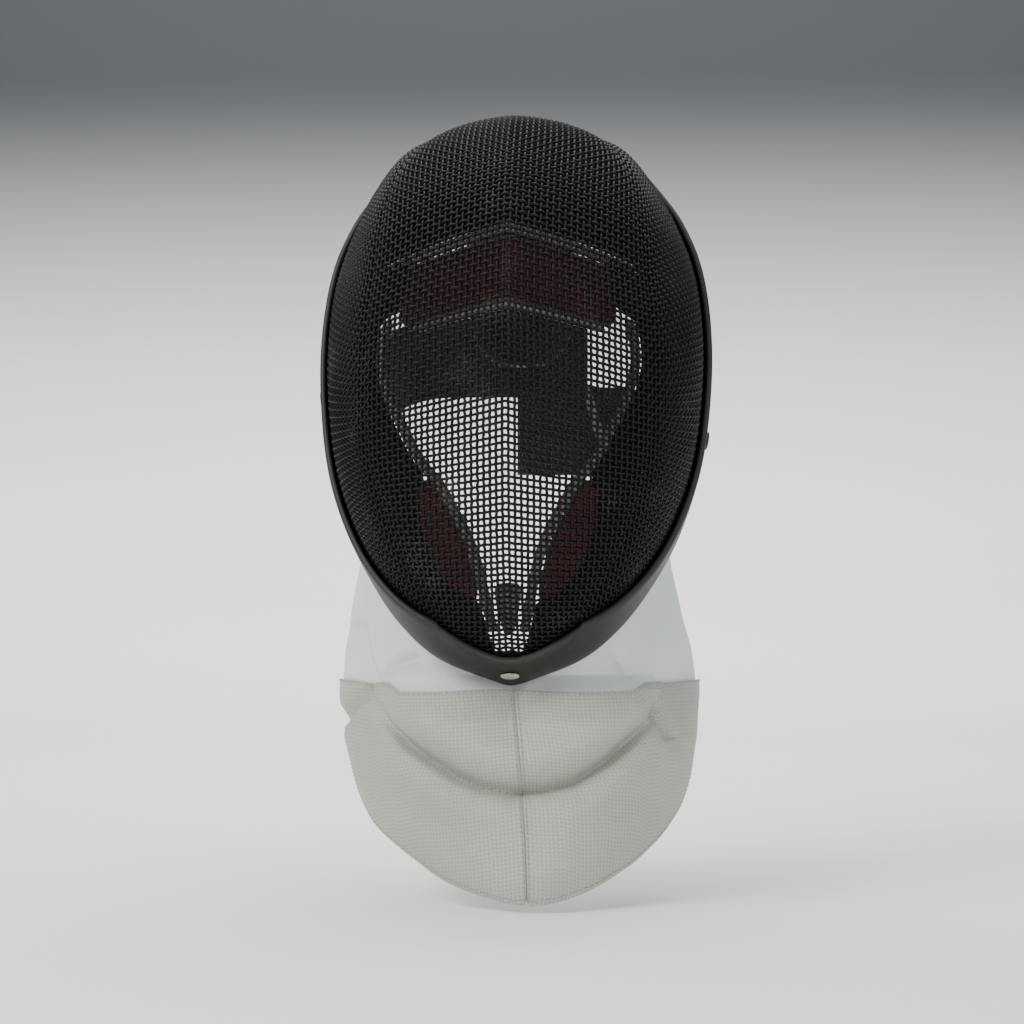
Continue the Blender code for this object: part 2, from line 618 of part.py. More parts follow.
def build_tongue():
    tongue_sheet("tongue_spring", 0.0, SPRING_WIDTH, -SPRING_WALL / 2, SPRING_WALL / 2, False, STEEL)
    near = SPRING_WALL / 2 + CLEARANCE + PAD_GAP
    tongue_sheet("back_tongue", TONGUE_START, TONGUE_WIDTH, near, near + TONGUE_WALL, True, BLACK_CLOTH)


def strap_half(name, side, height, down, fall, end, outside):
    """Elastic from inside the trim at one side, where it sits lower, round the back to its free end."""
    t, s, edge, into, normal = rim_frames(RIM_COUNT)
    keep = (edge[:, 0] * side > 0) & (edge[:, 2] < height - down)
    order = np.argsort(-edge[keep][:, 2])
    levels = -down + np.linspace(0.5, -0.5, 4) * height
    inside = MESH_WALL / 2 + TRIM_GAP + TRIM_WALL + CLEARANCE + STRAP_WALL / 2
    fixed = (edge + into * TRIM_INNER_LEG * STRAP_SEAT_SHARE - normal * inside)[keep][order]
    away = -into[keep][order]
    start = np.stack([np.interp(fall - levels, -fixed[:, 2], fixed[:, k]) for k in range(3)], -1)
    leave = np.stack([np.interp(fall - levels, -fixed[:, 2], away[:, k]) for k in range(3)], -1)
    leave[:, 2] = 0
    behind = TONGUE_BEHIND_SEAT + SPRING_WALL / 2 + STRAP_WALL / 2 + PAD_GAP + outside
    beside = side * (TONGUE_WIDTH / 2 + STRAP_PAST_TONGUE)
    finish = np.stack([np.full(4, beside), np.full(4, behind), levels], -1)
    q = np.linspace(0, 1, 20)[:, None, None]
    arrive = np.array([-side * STRAP_ARRIVES, 0, 0])
    points = (
        (2 * q**3 - 3 * q**2 + 1) * start
        + (q**3 - 2 * q**2 + q) * unit(leave) * STRAP_LEAVES
        + (3 * q**2 - 2 * q**3) * finish
        + (q**3 - q**2) * arrive
    )
    lap = finish + np.linspace(0, 1, 4)[1:, None, None] * np.array([end - beside, 0, 0])
    points = np.concatenate([points, lap])
    along = np.gradient(points, axis=0)
    out = unit(np.cross(along, np.array([0, 0, 1.0])) * -side)
    slab(name, points + out * STRAP_WALL / 2, points - out * STRAP_WALL / 2, BLACK_ELASTIC)


def build_strap():
    t, s, edge, into, normal = rim_frames(RIM_COUNT)
    size = (ANCHOR_WIDTH, ANCHOR_WIDTH, ANCHOR_THICKNESS)
    for name, side, height, down, fall, end, outside in (
        ("left", -1, STRAP_LEFT_HEIGHT, STRAP_LEFT_DOWN, STRAP_LEFT_FALL, STRAP_LEFT_END, 0.0),
        ("right", 1, STRAP_RIGHT_HEIGHT, STRAP_RIGHT_DOWN, STRAP_RIGHT_FALL, STRAP_RIGHT_END, STRAP_WALL + CLEARANCE),
    ):
        strap_half("strap_" + name, side, height, down, fall, end, outside)
        k = np.argmin(np.abs(edge[:, 2] + down + fall) + (edge[:, 0] * side < 0))
        at_t, at_s = inward(t[k:k + 1], s[k:k + 1], into[k:k + 1], TRIM_INNER_LEG * STRAP_SEAT_SHARE)
        out = mesh_normal(at_t, at_s)[0]
        seat = mesh_surface(at_t, at_s)[0] + out * (MESH_WALL / 2 + TRIM_GAP + TRIM_WALL + CLEARANCE)
        button("strap_anchor_" + name, seat, out, into[k], size, BLACK_BUTTON)


build_mesh()
build_trim()
build_rivet()
build_bib()
build_linings()
build_pads()
build_tongue()
build_strap()
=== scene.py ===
import math

import bmesh
import bpy
import numpy as np
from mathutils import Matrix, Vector
from mathutils.bvhtree import BVHTree


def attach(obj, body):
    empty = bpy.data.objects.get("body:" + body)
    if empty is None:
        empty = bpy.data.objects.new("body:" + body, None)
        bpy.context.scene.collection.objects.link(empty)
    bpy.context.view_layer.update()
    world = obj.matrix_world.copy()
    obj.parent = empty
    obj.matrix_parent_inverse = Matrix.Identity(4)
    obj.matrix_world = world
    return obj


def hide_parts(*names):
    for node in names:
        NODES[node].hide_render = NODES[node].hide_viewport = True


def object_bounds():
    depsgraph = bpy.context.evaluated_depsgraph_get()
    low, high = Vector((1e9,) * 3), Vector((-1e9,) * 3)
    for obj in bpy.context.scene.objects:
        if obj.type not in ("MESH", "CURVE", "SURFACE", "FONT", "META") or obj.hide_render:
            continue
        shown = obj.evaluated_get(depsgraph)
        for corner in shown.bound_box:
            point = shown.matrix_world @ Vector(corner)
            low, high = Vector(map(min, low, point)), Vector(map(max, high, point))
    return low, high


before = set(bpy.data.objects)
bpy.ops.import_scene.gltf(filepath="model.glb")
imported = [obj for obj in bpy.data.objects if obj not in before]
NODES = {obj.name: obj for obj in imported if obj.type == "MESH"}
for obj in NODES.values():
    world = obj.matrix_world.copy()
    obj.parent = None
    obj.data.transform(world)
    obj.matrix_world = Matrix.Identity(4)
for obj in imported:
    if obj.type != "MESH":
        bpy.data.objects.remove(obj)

for name in ("Cube", "Light", "Camera"):
    if name in bpy.data.objects:
        bpy.data.objects.remove(bpy.data.objects[name])
CAD_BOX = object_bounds()
SCENE = bpy.context.scene

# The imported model's own sizes and rails, so that each piece sits where its solid is
MASK_WIDTH = 0.1955
MASK_HEIGHT = 0.2915
MASK_DEPTH = 0.1850
CROWN_ABOVE_SEAT = 0.0040
RIDGE_AHEAD_OF_SEAT = 0.1240
CLEARANCE = 0.0003
MESH_WALL = 0.0020
CORNER_RADIUS = 0.0090
END_CORNER_RADIUS = 0.0260
PANEL_BOW, PANEL_BOW_SPAN = 0.0030, 0.0800
SIDE_BOW, SIDE_BOW_SPAN = 0.0080, 0.1100
BOW_CENTRE_BACK = 0.65
CORNER_SOFT_CHIN = 0.33
CORNER_SOFT_CROWN = (0.72, 0.92)
TRIM_WALL = 0.0028
TRIM_OUTER_LEG = 0.0230
TRIM_INNER_LEG = 0.0120
TRIM_LIP = 0.0034
TRIM_GAP = 0.0019
TRIM_SPREAD = 14
RIM_COUNT = 400
WALK_STEP = 0.0020
BIB_WALL = 0.0030
BIB_COVER_WALL = 0.0012
BIB_DROP = 0.1105
BIB_HALF_WIDTH = 0.0885
BIB_HEM_HEIGHT = 0.0760
BIB_HEM_FRONT = 0.0860
BIB_HEM_SIDE = 0.0040
BIB_HEM_TAPER = 1.15
BIB_HANG = 0.90
BIB_GAP = 0.0009
BIB_BULGE = 0.0360
BIB_BULGE_FROM = 0.0200
BIB_SWAY = 0.0090
BIB_SWAY_AT_SIDE = 0.15
BIB_TUCK = 0.0500
BIB_SIDE_REACH = 0.150
BIB_COVER_DOWN = 0.0115
BIB_COVER_STEP = 0.0050
BIB_COVER_STEP_AT = (0.50, 0.58)
PAD_GAP = 0.0006
FOREHEAD_PAD_ENDS = (0.486, 0.564)
FOREHEAD_EDGING_SIDES = (0.260, 0.370)
EDGING_RADIUS = 0.0026
EDGING_ASIDE = 0.0045
EDGING_LIFT = 0.0010
EDGING_ENDS = (0.085, 0.500)
STRAP_WALL = 0.0020
STRAP_SEAT_SHARE = 0.80
STRAP_LEAVES = 0.1100
STRAP_ARRIVES = 0.1300
STRAP_PAST_TONGUE = 0.0060
TONGUE_WIDTH = 0.0620
TONGUE_BEHIND_SEAT = 0.0880
SPRING_WALL = 0.0012
# Each half of the strap: its side, its width, how far down its middle lies, how much lower it is
# fixed than it laps, where it ends across the back, and how far outside the tongue it passes
STRAPS = {
    "strap_left": (-1, 0.0450, 0.1180, 0.0300, 0.0370, 0.0),
    "strap_right": (1, 0.0500, 0.1595, 0.0120, -0.0030, STRAP_WALL + CLEARANCE),
}
RAIL_COLUMNS = (
    "ridge_back", "ridge_down",
    "crease_out", "crease_back", "crease_down",
    "rim_out", "rim_back", "rim_down",
)
RAIL_ROWS = (
    (0.360, 1.000, 0.030, 0.361, 0.9985, 0.045, 0.362, 0.997),
    (0.245, 0.960, 0.225, 0.270, 0.958, 0.325, 0.335, 0.959),
    (0.145, 0.893, 0.420, 0.210, 0.893, 0.520, 0.385, 0.908),
    (0.065, 0.797, 0.580, 0.178, 0.803, 0.695, 0.480, 0.832),
    (0.016, 0.680, 0.690, 0.160, 0.702, 0.840, 0.570, 0.740),
    (0.000, 0.561, 0.745, 0.150, 0.607, 0.945, 0.665, 0.620),
    (0.016, 0.442, 0.760, 0.162, 0.503, 0.993, 0.765, 0.455),
    (0.060, 0.323, 0.750, 0.205, 0.391, 0.975, 0.850, 0.320),
    (0.108, 0.238, 0.725, 0.258, 0.316, 0.930, 0.895, 0.250),
    (0.172, 0.168, 0.705, 0.322, 0.236, 0.855, 0.930, 0.200),
    (0.302, 0.092, 0.660, 0.425, 0.148, 0.765, 0.955, 0.165),
    (0.455, 0.037, 0.580, 0.560, 0.070, 0.650, 0.972, 0.130),
    (0.643, 0.004, 0.470, 0.720, 0.024, 0.520, 0.985, 0.102),
    (0.985, 0.036, 0.220, 0.987, 0.046, 0.352, 0.990, 0.069),
)
SIDE_COLUMNS = ("up", "edge", "pad_back")
SIDE_ROWS = (
    (0.080, 0.240, 0.240),
    (0.110, 0.220, 0.220),
    (0.128, 0.208, 0.212),
    (0.135, 0.205, 0.300),
    (0.160, 0.195, 0.365),
    (0.185, 0.190, 0.385),
    (0.220, 0.205, 0.372),
    (0.255, 0.242, 0.358),
    (0.290, 0.270, 0.335),
    (0.298, 0.290, 0.292),
    (0.315, 0.315, 0.315),
    (0.350, 0.335, 0.335),
    (0.400, 0.370, 0.370),
    (0.450, 0.390, 0.390),
    (0.495, 0.368, 0.368),
    (0.520, 0.292, 0.292),
    (0.564, 0.292, 0.292),
)
SIDE = dict(zip(SIDE_COLUMNS, np.array(SIDE_ROWS).T))

# Sizes that only the looks need
WIRE_PITCH = 0.00325
WIRE_RADIUS = 0.00078
WIRE_LIFT = 0.00066
WIRE_SIDES = 5
LONG_WIRE_LEAST, CROSS_WIRE_LEAST = 6, 3
CROSS_WIRES_SPLIT = 0.48
TRIM_STATIONS, TRIM_SMOOTHINGS = 300, 60
# Shares of the leg's length and of the channel's half height, over the rolled edge of each leg
OUTER_LEG_FACE = (
    (0, 1), (0.10, 1.03), (0.22, 0.99), (0.42, 0.97), (0.64, 0.97),
    (0.80, 0.98), (0.88, 1.02), (0.95, 0.98), (0.985, 0.88), (1, 0.72),
)
INNER_LEG_FACE = ((1, 0.8), (0.94, 0.95), (0.5, 1), (0, 1))
BIB_ACROSS, BIB_DOWN = 300, 130
PIPING_STEP, PIPING_STATIONS, PIPING_SIDES, PIPING_LUMPS = 0.0016, 90, 12, 0.035
PIPING_SMOOTHINGS = 12
STRAP_ACROSS, STRAP_STATIONS, STRAP_LAP_STATIONS = 13, 90, 16
PALE_BAND_AT, PALE_BAND_WIDTH = 0.118, 0.0055
CLOTH_PITCH = 0.0011
COVER_PITCH = 0.0021
BINDING_RIB = 0.0008
ELASTIC_RIB, ELASTIC_PICK = 0.0016, 0.0011
LINING_WALL = 0.0009
LINING_DEPTH = 0.0015
LINING_SLACK = 0.0004
LINING_ENDS = (0.030, 0.970)
LINING_FROM_RIM = 0.0060
LINING_OVER_PIPING = 0.0021
LINING_OVER_PAD = 0.0022
LINING_PAST_PAD_END = 0.009
CROWN_LINING_DIPS = (0.3705, 0.3740)
PAD_UNDER_LINING = 0.0011
PAD_FACE = 0.0026
SWELL_MOST, SWELL_TOWARDS_MESH, SWELL_FRAMES = 0.0026, 0.0002, 20
THREAD_RADIUS, THREAD_SIDES = 0.00032, 6
STITCH, FINE_STITCH = 0.0030, 0.0026
STITCH_SHARE = (0.12, 0.88)
STITCH_LIFT = np.array([-0.9, 0.35, 0.8, 0.35, -0.9])

# Where the front view is taken from: its distance ahead of the mask, and the place it looks at
VIEW_DISTANCE = 1.281
VIEW_SIDE, VIEW_HEIGHT = -0.0021, -0.2054
VIEW_TURN = 2.5
VIEW_LENS = 85

# The floor that turns up into the wall: how far behind the mask, and how high
SWEEP = ((-6.0, 0.0), (1.05, 0.0), (1.15, 0.02), (1.22, 0.10), (1.25, 0.25), (1.25, 4.0))
SWEEP_HALF_WIDTH = 6.0
FLOOR_BELOW = 0.004
# Painted shade on the wall: the heights where its colour starts to darken, and where it is darkest
WALL_PAINTED_SHADE = (-0.22, 0.26)

# Fold lines of the bib as they show from there: x and height, as if they lay in the plane of the trim
SMILE_FOLD = (
    (-0.070, -0.307), (-0.064, -0.318), (-0.053, -0.329), (-0.040, -0.338), (-0.028, -0.346),
    (-0.014, -0.352), (0.002, -0.355), (0.018, -0.353), (0.034, -0.349), (0.050, -0.338),
    (0.063, -0.325), (0.071, -0.317), (0.074, -0.309),
)
LEFT_FLAP_FOLD = ((-0.070, -0.298), (-0.078, -0.303), (-0.087, -0.312), (-0.090, -0.320))
RIGHT_FLAP_FOLD = ((0.073, -0.309), (0.076, -0.316), (0.079, -0.322), (0.081, -0.328))
UPPER_LEFT_FOLD = ((-0.082, -0.262), (-0.079, -0.283), (-0.073, -0.293), (-0.069, -0.298))
PILLOW_FOLD = ((-0.067, -0.295), (-0.061, -0.288), (-0.055, -0.284), (-0.048, -0.283))
UPPER_RIGHT_FOLD = ((0.056, -0.281), (0.064, -0.294))
# How deep each is pressed in, and how wide
PRESSED_FOLDS = (
    (LEFT_FLAP_FOLD, 0.0046, 0.0034),
    (RIGHT_FLAP_FOLD, 0.0050, 0.0038),
    (UPPER_LEFT_FOLD, 0.0056, 0.0042),
    (PILLOW_FOLD, 0.0050, 0.0030),
    (UPPER_RIGHT_FOLD, 0.0036, 0.0030),
)
# Small raised places: where each is, how wide and tall, and how high
RAISED_PLACES = (((-0.050, -0.292), 0.020, 0.0055, 0.0048), ((0.010, -0.298), 0.006, 0.008, 0.0022))
SMILE_DEPTH, SMILE_WIDTH = 0.0058, 0.0026
SWELL_OVER_SMILE, SWELL_UNDER_SMILE = 0.0130, 0.0042
# The hem rises a little at the seam, and the seam is drawn in
HEM_NOTCH, HEM_NOTCH_WIDTH, HEM_NOTCH_FROM = 0.0022, 0.010, 0.90
WHITE_SEAM_DEPTH, WHITE_SEAM_WIDTH = 0.0009, 0.0045
COVER_SEAM_DEPTH, COVER_SEAM_WIDTH = 0.0010, 0.0050
HELD_BY_TRIM = 0.10


def smooth(stations, values, at):
    """Values at the given places of a smooth curve through the stations."""
    slopes = np.gradient(values, stations)
    k = np.clip(np.searchsorted(stations, at, side="right") - 1, 0, len(stations) - 2)
    span = stations[k + 1] - stations[k]
    q = (at - stations[k]) / span
    return curve_between(q, values[k], span * slopes[k], values[k + 1], span * slopes[k + 1])


def curve_between(q, start, leaving, end, arriving):
    """Points of a curve between two ends, q from 0 to 1, and how it leaves and arrives."""
    return (
        (2 * q**3 - 3 * q**2 + 1) * start
        + (q**3 - 2 * q**2 + q) * leaving
        + (3 * q**2 - 2 * q**3) * end
        + (q**3 - q**2) * arriving
    )


def rail_table():
    """The rails' columns by name, their places up the ridge from 0 to 1, and the ridge's length."""
    table = dict(zip(RAIL_COLUMNS, np.array(RAIL_ROWS).T))
    run = np.hypot(np.diff(table["ridge_back"]) * MASK_DEPTH, np.diff(table["ridge_down"]) * MASK_HEIGHT)
    stations = np.concatenate([[0], np.cumsum(run)])
    return table, stations / stations[-1], stations[-1]


RAILS, STATIONS, RIDGE_LENGTH = rail_table()
BOW_CENTRE = np.array(
    [0, MASK_DEPTH * BOW_CENTRE_BACK - RIDGE_AHEAD_OF_SEAT, CROWN_ABOVE_SEAT - MASK_HEIGHT / 2]
)


def rail(name, t):
    """Points of the ridge, the right crease or the right rim, from chin at 0 to crown at 1."""
    out = smooth(STATIONS, RAILS[name + "_out"], t) if name + "_out" in RAILS else np.zeros_like(t)
    back = smooth(STATIONS, RAILS[name + "_back"], t)
    down = smooth(STATIONS, RAILS[name + "_down"], t)
    x, y = out * MASK_WIDTH / 2, back * MASK_DEPTH - RIDGE_AHEAD_OF_SEAT
    return np.stack([x, y, CROWN_ABOVE_SEAT - down * MASK_HEIGHT], -1)


def unit(vectors):
    """The same directions, each one metre long."""
    return vectors / np.maximum(np.linalg.norm(vectors, axis=-1, keepdims=True), 1e-9)


def spans(t):
    """Lengths of the mesh from ridge to crease and from crease to rim at these places."""
    ridge, crease, rim = (rail(name, np.asarray(t, float)) for name in ("ridge", "crease", "rim"))
    return np.linalg.norm(crease - ridge, axis=-1), np.linalg.norm(rim - crease, axis=-1)


def mesh_surface(t, s):
    """Points of the mesh: t from chin to crown, s from the left rim at -1 to the right at 1."""
    t, s = np.asarray(t, float), np.asarray(s, float)
    t, s = np.broadcast_arrays(np.clip(t, 0, 1), np.clip(s, -1, 1))
    ridge, crease, rim = (rail(name, t) for name in ("ridge", "crease", "rim"))
    front = np.linalg.norm(crease - ridge, axis=-1, keepdims=True)
    side = np.linalg.norm(rim - crease, axis=-1, keepdims=True)
    run = np.abs(s)[..., None] * (front + side) - front
    fade = np.interp(-t, [-CORNER_SOFT_CHIN, 0], [0, 1]) + np.interp(t, CORNER_SOFT_CROWN, [0, 1])
    radius = CORNER_RADIUS + (END_CORNER_RADIUS - CORNER_RADIUS) * fade[..., None]
    reach = np.where(run < 0, front, side)
    radius = np.minimum(radius, 0.5 * np.minimum(front, side))
    rounding = (np.sqrt(run**2 + radius**2) - np.abs(run)) / 2 * (1 - np.clip(run / reach, -1, 1) ** 2)
    along_front = unit(crease - ridge)
    along_side = unit(rim - crease)
    points = crease + along_front * np.minimum(run, 0) + along_side * np.maximum(run, 0)
    points = points + (along_side - along_front) * rounding
    bow = np.where(run < 0, PANEL_BOW * front / PANEL_BOW_SPAN, SIDE_BOW * side / SIDE_BOW_SPAN)
    q = np.abs(run) / reach
    points = points + unit(points - BOW_CENTRE) * bow * 4 * q * (1 - q)
    return points * np.stack([np.where(s < 0, -1.0, 1.0), np.ones_like(s), np.ones_like(s)], -1)


def mesh_normal(t, s):
    """Outward unit normal of the mesh, blended over the ridge."""
    step = 0.004
    along_t = mesh_surface(t + step, s) - mesh_surface(t - step, s)
    along_s = mesh_surface(t, s + step) - mesh_surface(t, s - step)
    return unit(np.cross(along_s, along_t))


def inward(t, s, direction, distance):
    """Walks over the mesh from (t, s), keeping to the given direction, and returns where it arrives."""
    steps = max(1, math.ceil(distance / WALK_STEP))
    step = 0.002
    for _ in range(steps):
        across_t = (mesh_surface(t + step, s) - mesh_surface(t - step, s)) / (
            np.clip(t + step, 0, 1) - np.clip(t - step, 0, 1)
        )[..., None]
        across_s = (mesh_surface(t, s + step) - mesh_surface(t, s - step)) / (
            np.clip(s + step, -1, 1) - np.clip(s - step, -1, 1)
        )[..., None]
        tt = (across_t * across_t).sum(-1)
        ss = (across_s * across_s).sum(-1)
        ts = (across_t * across_s).sum(-1)
        dt = (across_t * direction).sum(-1)
        ds = (across_s * direction).sum(-1)
        det = tt * ss - ts * ts
        t = np.clip(t + (dt * ss - ds * ts) / det * distance / steps, 0, 1)
        s = np.clip(s + (ds * tt - dt * ts) / det * distance / steps, -1, 1)
    return t, s


def rim_loop(count):
    """Evenly spaced places (t, s) all round the rim, from the middle of the chin to the right and back."""
    fine = np.linspace(0, 1, 400)
    one = np.ones_like(fine)
    t = np.concatenate([0 * one, fine, one, fine[::-1], 0 * one])
    s = np.concatenate([fine, one, 1 - 2 * fine, -one, fine - 1])
    points = mesh_surface(t, s)
    run = np.concatenate([[0], np.cumsum(np.linalg.norm(np.diff(points, axis=0), axis=1))])
    at = np.linspace(0, run[-1], count, endpoint=False)
    return np.interp(at, run, t), np.interp(at, run, s)


def rim_frames(count):
    """The rim loop with its points, the directions inward over the mesh and the outward normals."""
    t, s = rim_loop(count)
    points = mesh_surface(t, s)
    reach = round(count * TRIM_SPREAD / RIM_COUNT)
    near = [k for k in range(-reach, reach + 1) if k]
    tangent = unit(sum(np.sign(-k) * np.roll(points, k, 0) for k in near))
    normal = mesh_normal(np.clip(t, 0.02, 0.98), np.clip(s, -0.97, 0.97))
    normal = unit(normal + sum(np.roll(normal, k, 0) for k in near))
    normal = unit(normal - (normal * tangent).sum(-1, keepdims=True) * tangent)
    return t, s, points, np.cross(normal, tangent), normal


class Tone:
    """A value that changes over a surface. Arithmetic on it adds Math nodes to its finish."""

    def __init__(self, finish, socket):
        self.finish = finish
        self.socket = socket

    def maths(self, operation, *values):
        return self.finish.node("Math", {"operation": operation}, dict(enumerate(values)))

    def __add__(self, other):
        return self.maths("ADD", self, other)

    def __sub__(self, other):
        return self.maths("SUBTRACT", self, other)

    def __rsub__(self, other):
        return self.maths("SUBTRACT", other, self)

    def __mul__(self, other):
        return self.maths("MULTIPLY", self, other)

    def __abs__(self):
        return self.maths("ABSOLUTE", self)

    __radd__ = __add__
    __rmul__ = __mul__

    def sine(self):
        return self.maths("SINE", self)

    def between(self, low, high, first=0.0, last=1.0):
        """Goes smoothly from first to last as this value goes from low to high."""
        sockets = {0: self, 1: low, 2: high, 3: first, 4: last}
        return self.finish.node("MapRange", {"interpolation_type": "SMOOTHSTEP"}, sockets)


class Finish:
    """A material with its shader, and the one way to add a node to it."""

    def __init__(self, name, colour, roughness, metallic=0.0, constants=None):
        self.material = bpy.data.materials.new(name)
        self.material.use_nodes = True
        self.tree = self.material.node_tree
        self.shader = self.tree.nodes["Principled BSDF"]
        self.material.diffuse_color = (*colour, 1)
        self.set("Base Color", (*colour, 1))
        self.set("Roughness", roughness)
        self.set("Metallic", metallic)
        for key, value in (constants or {}).items():
            self.set(key, value)

    def set(self, key, value):
        self.feed(self.shader.inputs[key], value)

    def feed(self, socket, value):
        if isinstance(value, Tone):
            self.tree.links.new(value.socket, socket)
        else:
            socket.default_value = value

    def node(self, kind, settings=None, sockets=None, output=0):
        """Adds a node of this type, sets its settings and then its sockets, and returns an output."""
        made = self.tree.nodes.new("ShaderNode" + kind)
        for key, value in (settings or {}).items():
            setattr(made, key, value)
        for key, value in (sockets or {}).items():
            self.feed(made.inputs[key], value)
        return Tone(self, made.outputs[output])

    def noise(self, place, scale, detail=2.0):
        return self.node("TexNoise", {}, {"Vector": place, "Scale": scale, "Detail": detail})

    def object_place(self):
        return self.node("TexCoord", output="Object")

    def stretch(self, place, factors):
        return self.node("VectorMath", {"operation": "MULTIPLY"}, {0: place, 1: factors})

    def cloth_axes(self):
        """Distances across and along the cut cloth, in metres, and the pair as one place."""
        place = self.node("UVMap", {"uv_map": "cloth"})
        split = self.node("SeparateXYZ", {}, {0: place}).socket.node
        return Tone(self, split.outputs[0]), Tone(self, split.outputs[1]), place

    def blend(self, share, first, second):
        """A colour between two, each given or itself a tone."""
        first, second = ((*c, 1) if isinstance(c, tuple) and len(c) == 3 else c for c in (first, second))
        return self.node("Mix", {"data_type": "RGBA"}, {0: share, 6: first, 7: second}, output=2)

    def relief(self, height, depth, strength=1.0):
        bump = self.node("Bump", {}, {"Height": height, "Strength": strength, "Distance": depth})
        self.set("Normal", bump)


def plain_weave(across, along, pitch):
    """Height of a plain weave from 0 to 1, threads at this pitch both ways."""
    warp = (across * (math.pi / pitch)).sine()
    weft = (along * (math.pi / pitch)).sine()
    over = (warp * weft).between(-0.35, 0.35)
    ridge_a = warp * warp
    ridge_b = weft * weft
    return ridge_a * over + ridge_b * (1 - over)


def wire_finish():
    """Black coated steel wire, with sparse random spots lightened and made metallic: partly wear, partly
    painted glints.
    """
    made = Finish("wire_mesh_black", (0.005, 0.0052, 0.005), 0.42, 0.0, {"Specular IOR Level": 0.15})
    place = made.object_place()
    patches = made.noise(place, 38.0, 3.0)
    grain = made.noise(place, 900.0, 2.0)
    # Painted glints and wear: sparse spots where the colour is lightened and made metallic, standing in for
    # light caught on the wires.
    wear_and_glint = patches.between(0.56, 0.74) * grain.between(0.42, 0.68)
    colour = made.blend(patches, (0.0035, 0.0037, 0.0034), (0.007, 0.0074, 0.0069))
    made.set("Base Color", made.blend(wear_and_glint, colour, (0.040, 0.041, 0.037)))
    made.set("Roughness", 0.48 - patches * 0.16 + grain * 0.12)
    made.set("Metallic", wear_and_glint * 0.5)
    made.relief(grain, 0.00008, 0.5)
    return made.material


def rubber_finish():
    """Satin black moulded edging with fine grain, rub marks, a little dust and painted sheen lightening its
    edges.
    """
    made = Finish("edge_trim_rubber", (0.016, 0.0165, 0.015), 0.44, 0.0, {"Specular IOR Level": 0.28})
    across, _, _ = made.cloth_axes()
    place = made.object_place()
    cloud = made.noise(place, 22.0, 4.0)
    grain = made.noise(place, 1500.0, 2.0)
    streaks = made.noise(made.stretch(place, (60.0, 60.0, 500.0)), 1.0, 3.0)
    # Painted sheen: a band lightened along the rolled outer edge, and a weaker one near the inner edge of
    # the outer leg.
    lip = across.between(0.0105, 0.0005) + across.between(0.0185, 0.0225) * 0.35
    colour = made.blend(cloud, (0.011, 0.0115, 0.0105), (0.022, 0.0225, 0.020))
    # Painted edge sheen together with real rub streaks.
    sheen_and_rubs = lip * cloud.between(0.30, 0.62) * 0.5 + streaks.between(0.62, 0.80) * 0.12
    made.set("Base Color", made.blend(sheen_and_rubs, colour, (0.060, 0.062, 0.056)))
    made.set("Roughness", 0.40 + cloud * 0.16 + grain * 0.08)
    made.relief(grain + streaks * 0.6, 0.00012, 0.5)
    return made.material


def white_cloth_finish():
    """Bleached, slightly blue woven cloth with a soft nap and faint handling marks."""
    sheen = {"Sheen Weight": 0.25, "Sheen Roughness": 0.5}
    made = Finish("bib_white_cloth", (0.60, 0.64, 0.67), 0.86, 0.0, sheen)
    across, along, flat = made.cloth_axes()
    weave = plain_weave(across, along, CLOTH_PITCH)
    slub = made.noise(made.stretch(flat, (260.0, 1300.0, 1.0)), 1.0, 2.0)
    cloud = made.noise(made.object_place(), 17.0, 4.0)
    pale = made.blend(cloud.between(0.30, 0.72), (0.62, 0.66, 0.68), (0.72, 0.76, 0.77))
    shaded = made.blend(weave * 0.22 + slub * 0.16, pale, (0.53, 0.565, 0.58))
    made.set("Base Color", shaded)
    made.set("Roughness", 0.80 + weave * 0.12)
    made.relief(weave + slub * 0.5, 0.00022, 0.55)
    return made.material


def cover_finish():
    """Grey conductive cloth: fine metal-cored threads in a square weave of about two millimetres."""
    sheen = {"Sheen Weight": 0.15, "Sheen Roughness": 0.4}
    made = Finish("bib_cover_cloth", (0.40, 0.40, 0.37), 0.58, 0.25, sheen)
    across, along, flat = made.cloth_axes()
    squares = plain_weave(across, along, COVER_PITCH)
    threads = plain_weave(across, along, COVER_PITCH / 4)
    slub = made.noise(made.stretch(flat, (900.0, 240.0, 1.0)), 1.0, 2.0)
    cloud = made.noise(made.object_place(), 14.0, 4.0)
    base = made.blend(cloud.between(0.30, 0.72), (0.445, 0.455, 0.405), (0.550, 0.552, 0.482))
    warm = made.noise(made.object_place(), 6.0, 2.0)
    base = made.blend(warm.between(0.5, 0.8) * 0.5, base, (0.52, 0.485, 0.41))
    made.set("Base Color", made.blend((1 - squares) * 0.62 + slub * 0.18, base, (0.235, 0.238, 0.215)))
    made.set("Roughness", 0.46 + squares * 0.14 + slub * 0.12)
    made.set("Metallic", 0.16 + squares * 0.16)
    made.relief(squares + threads * 0.35 + slub * 0.3, 0.00030, 0.6)
    return made.material


def velour_finish(name, dark, light, scale=900.0):
    """Short pile over foam: tufts, brushed patches and soft sheen."""
    made = Finish(name, light, 0.88, 0.0, {"Sheen Weight": 0.5, "Sheen Roughness": 0.45})
    place = made.object_place()
    tufts = made.node("TexVoronoi", {}, {"Vector": place, "Scale": scale})
    fuzz = made.noise(place, scale * 1.9, 3.0)
    brushed = made.noise(made.stretch(place, (40.0, 40.0, 75.0)), 1.0, 4.0)
    shade = tufts.between(0.05, 0.75) * 0.45 + fuzz * 0.25 + brushed.between(0.32, 0.68) * 0.40
    made.set("Base Color", made.blend(shade, light, dark))
    made.set("Roughness", 0.80 + fuzz * 0.15)
    made.relief(1 - tufts + fuzz * 0.5, 0.00040, 0.6)
    return made.material


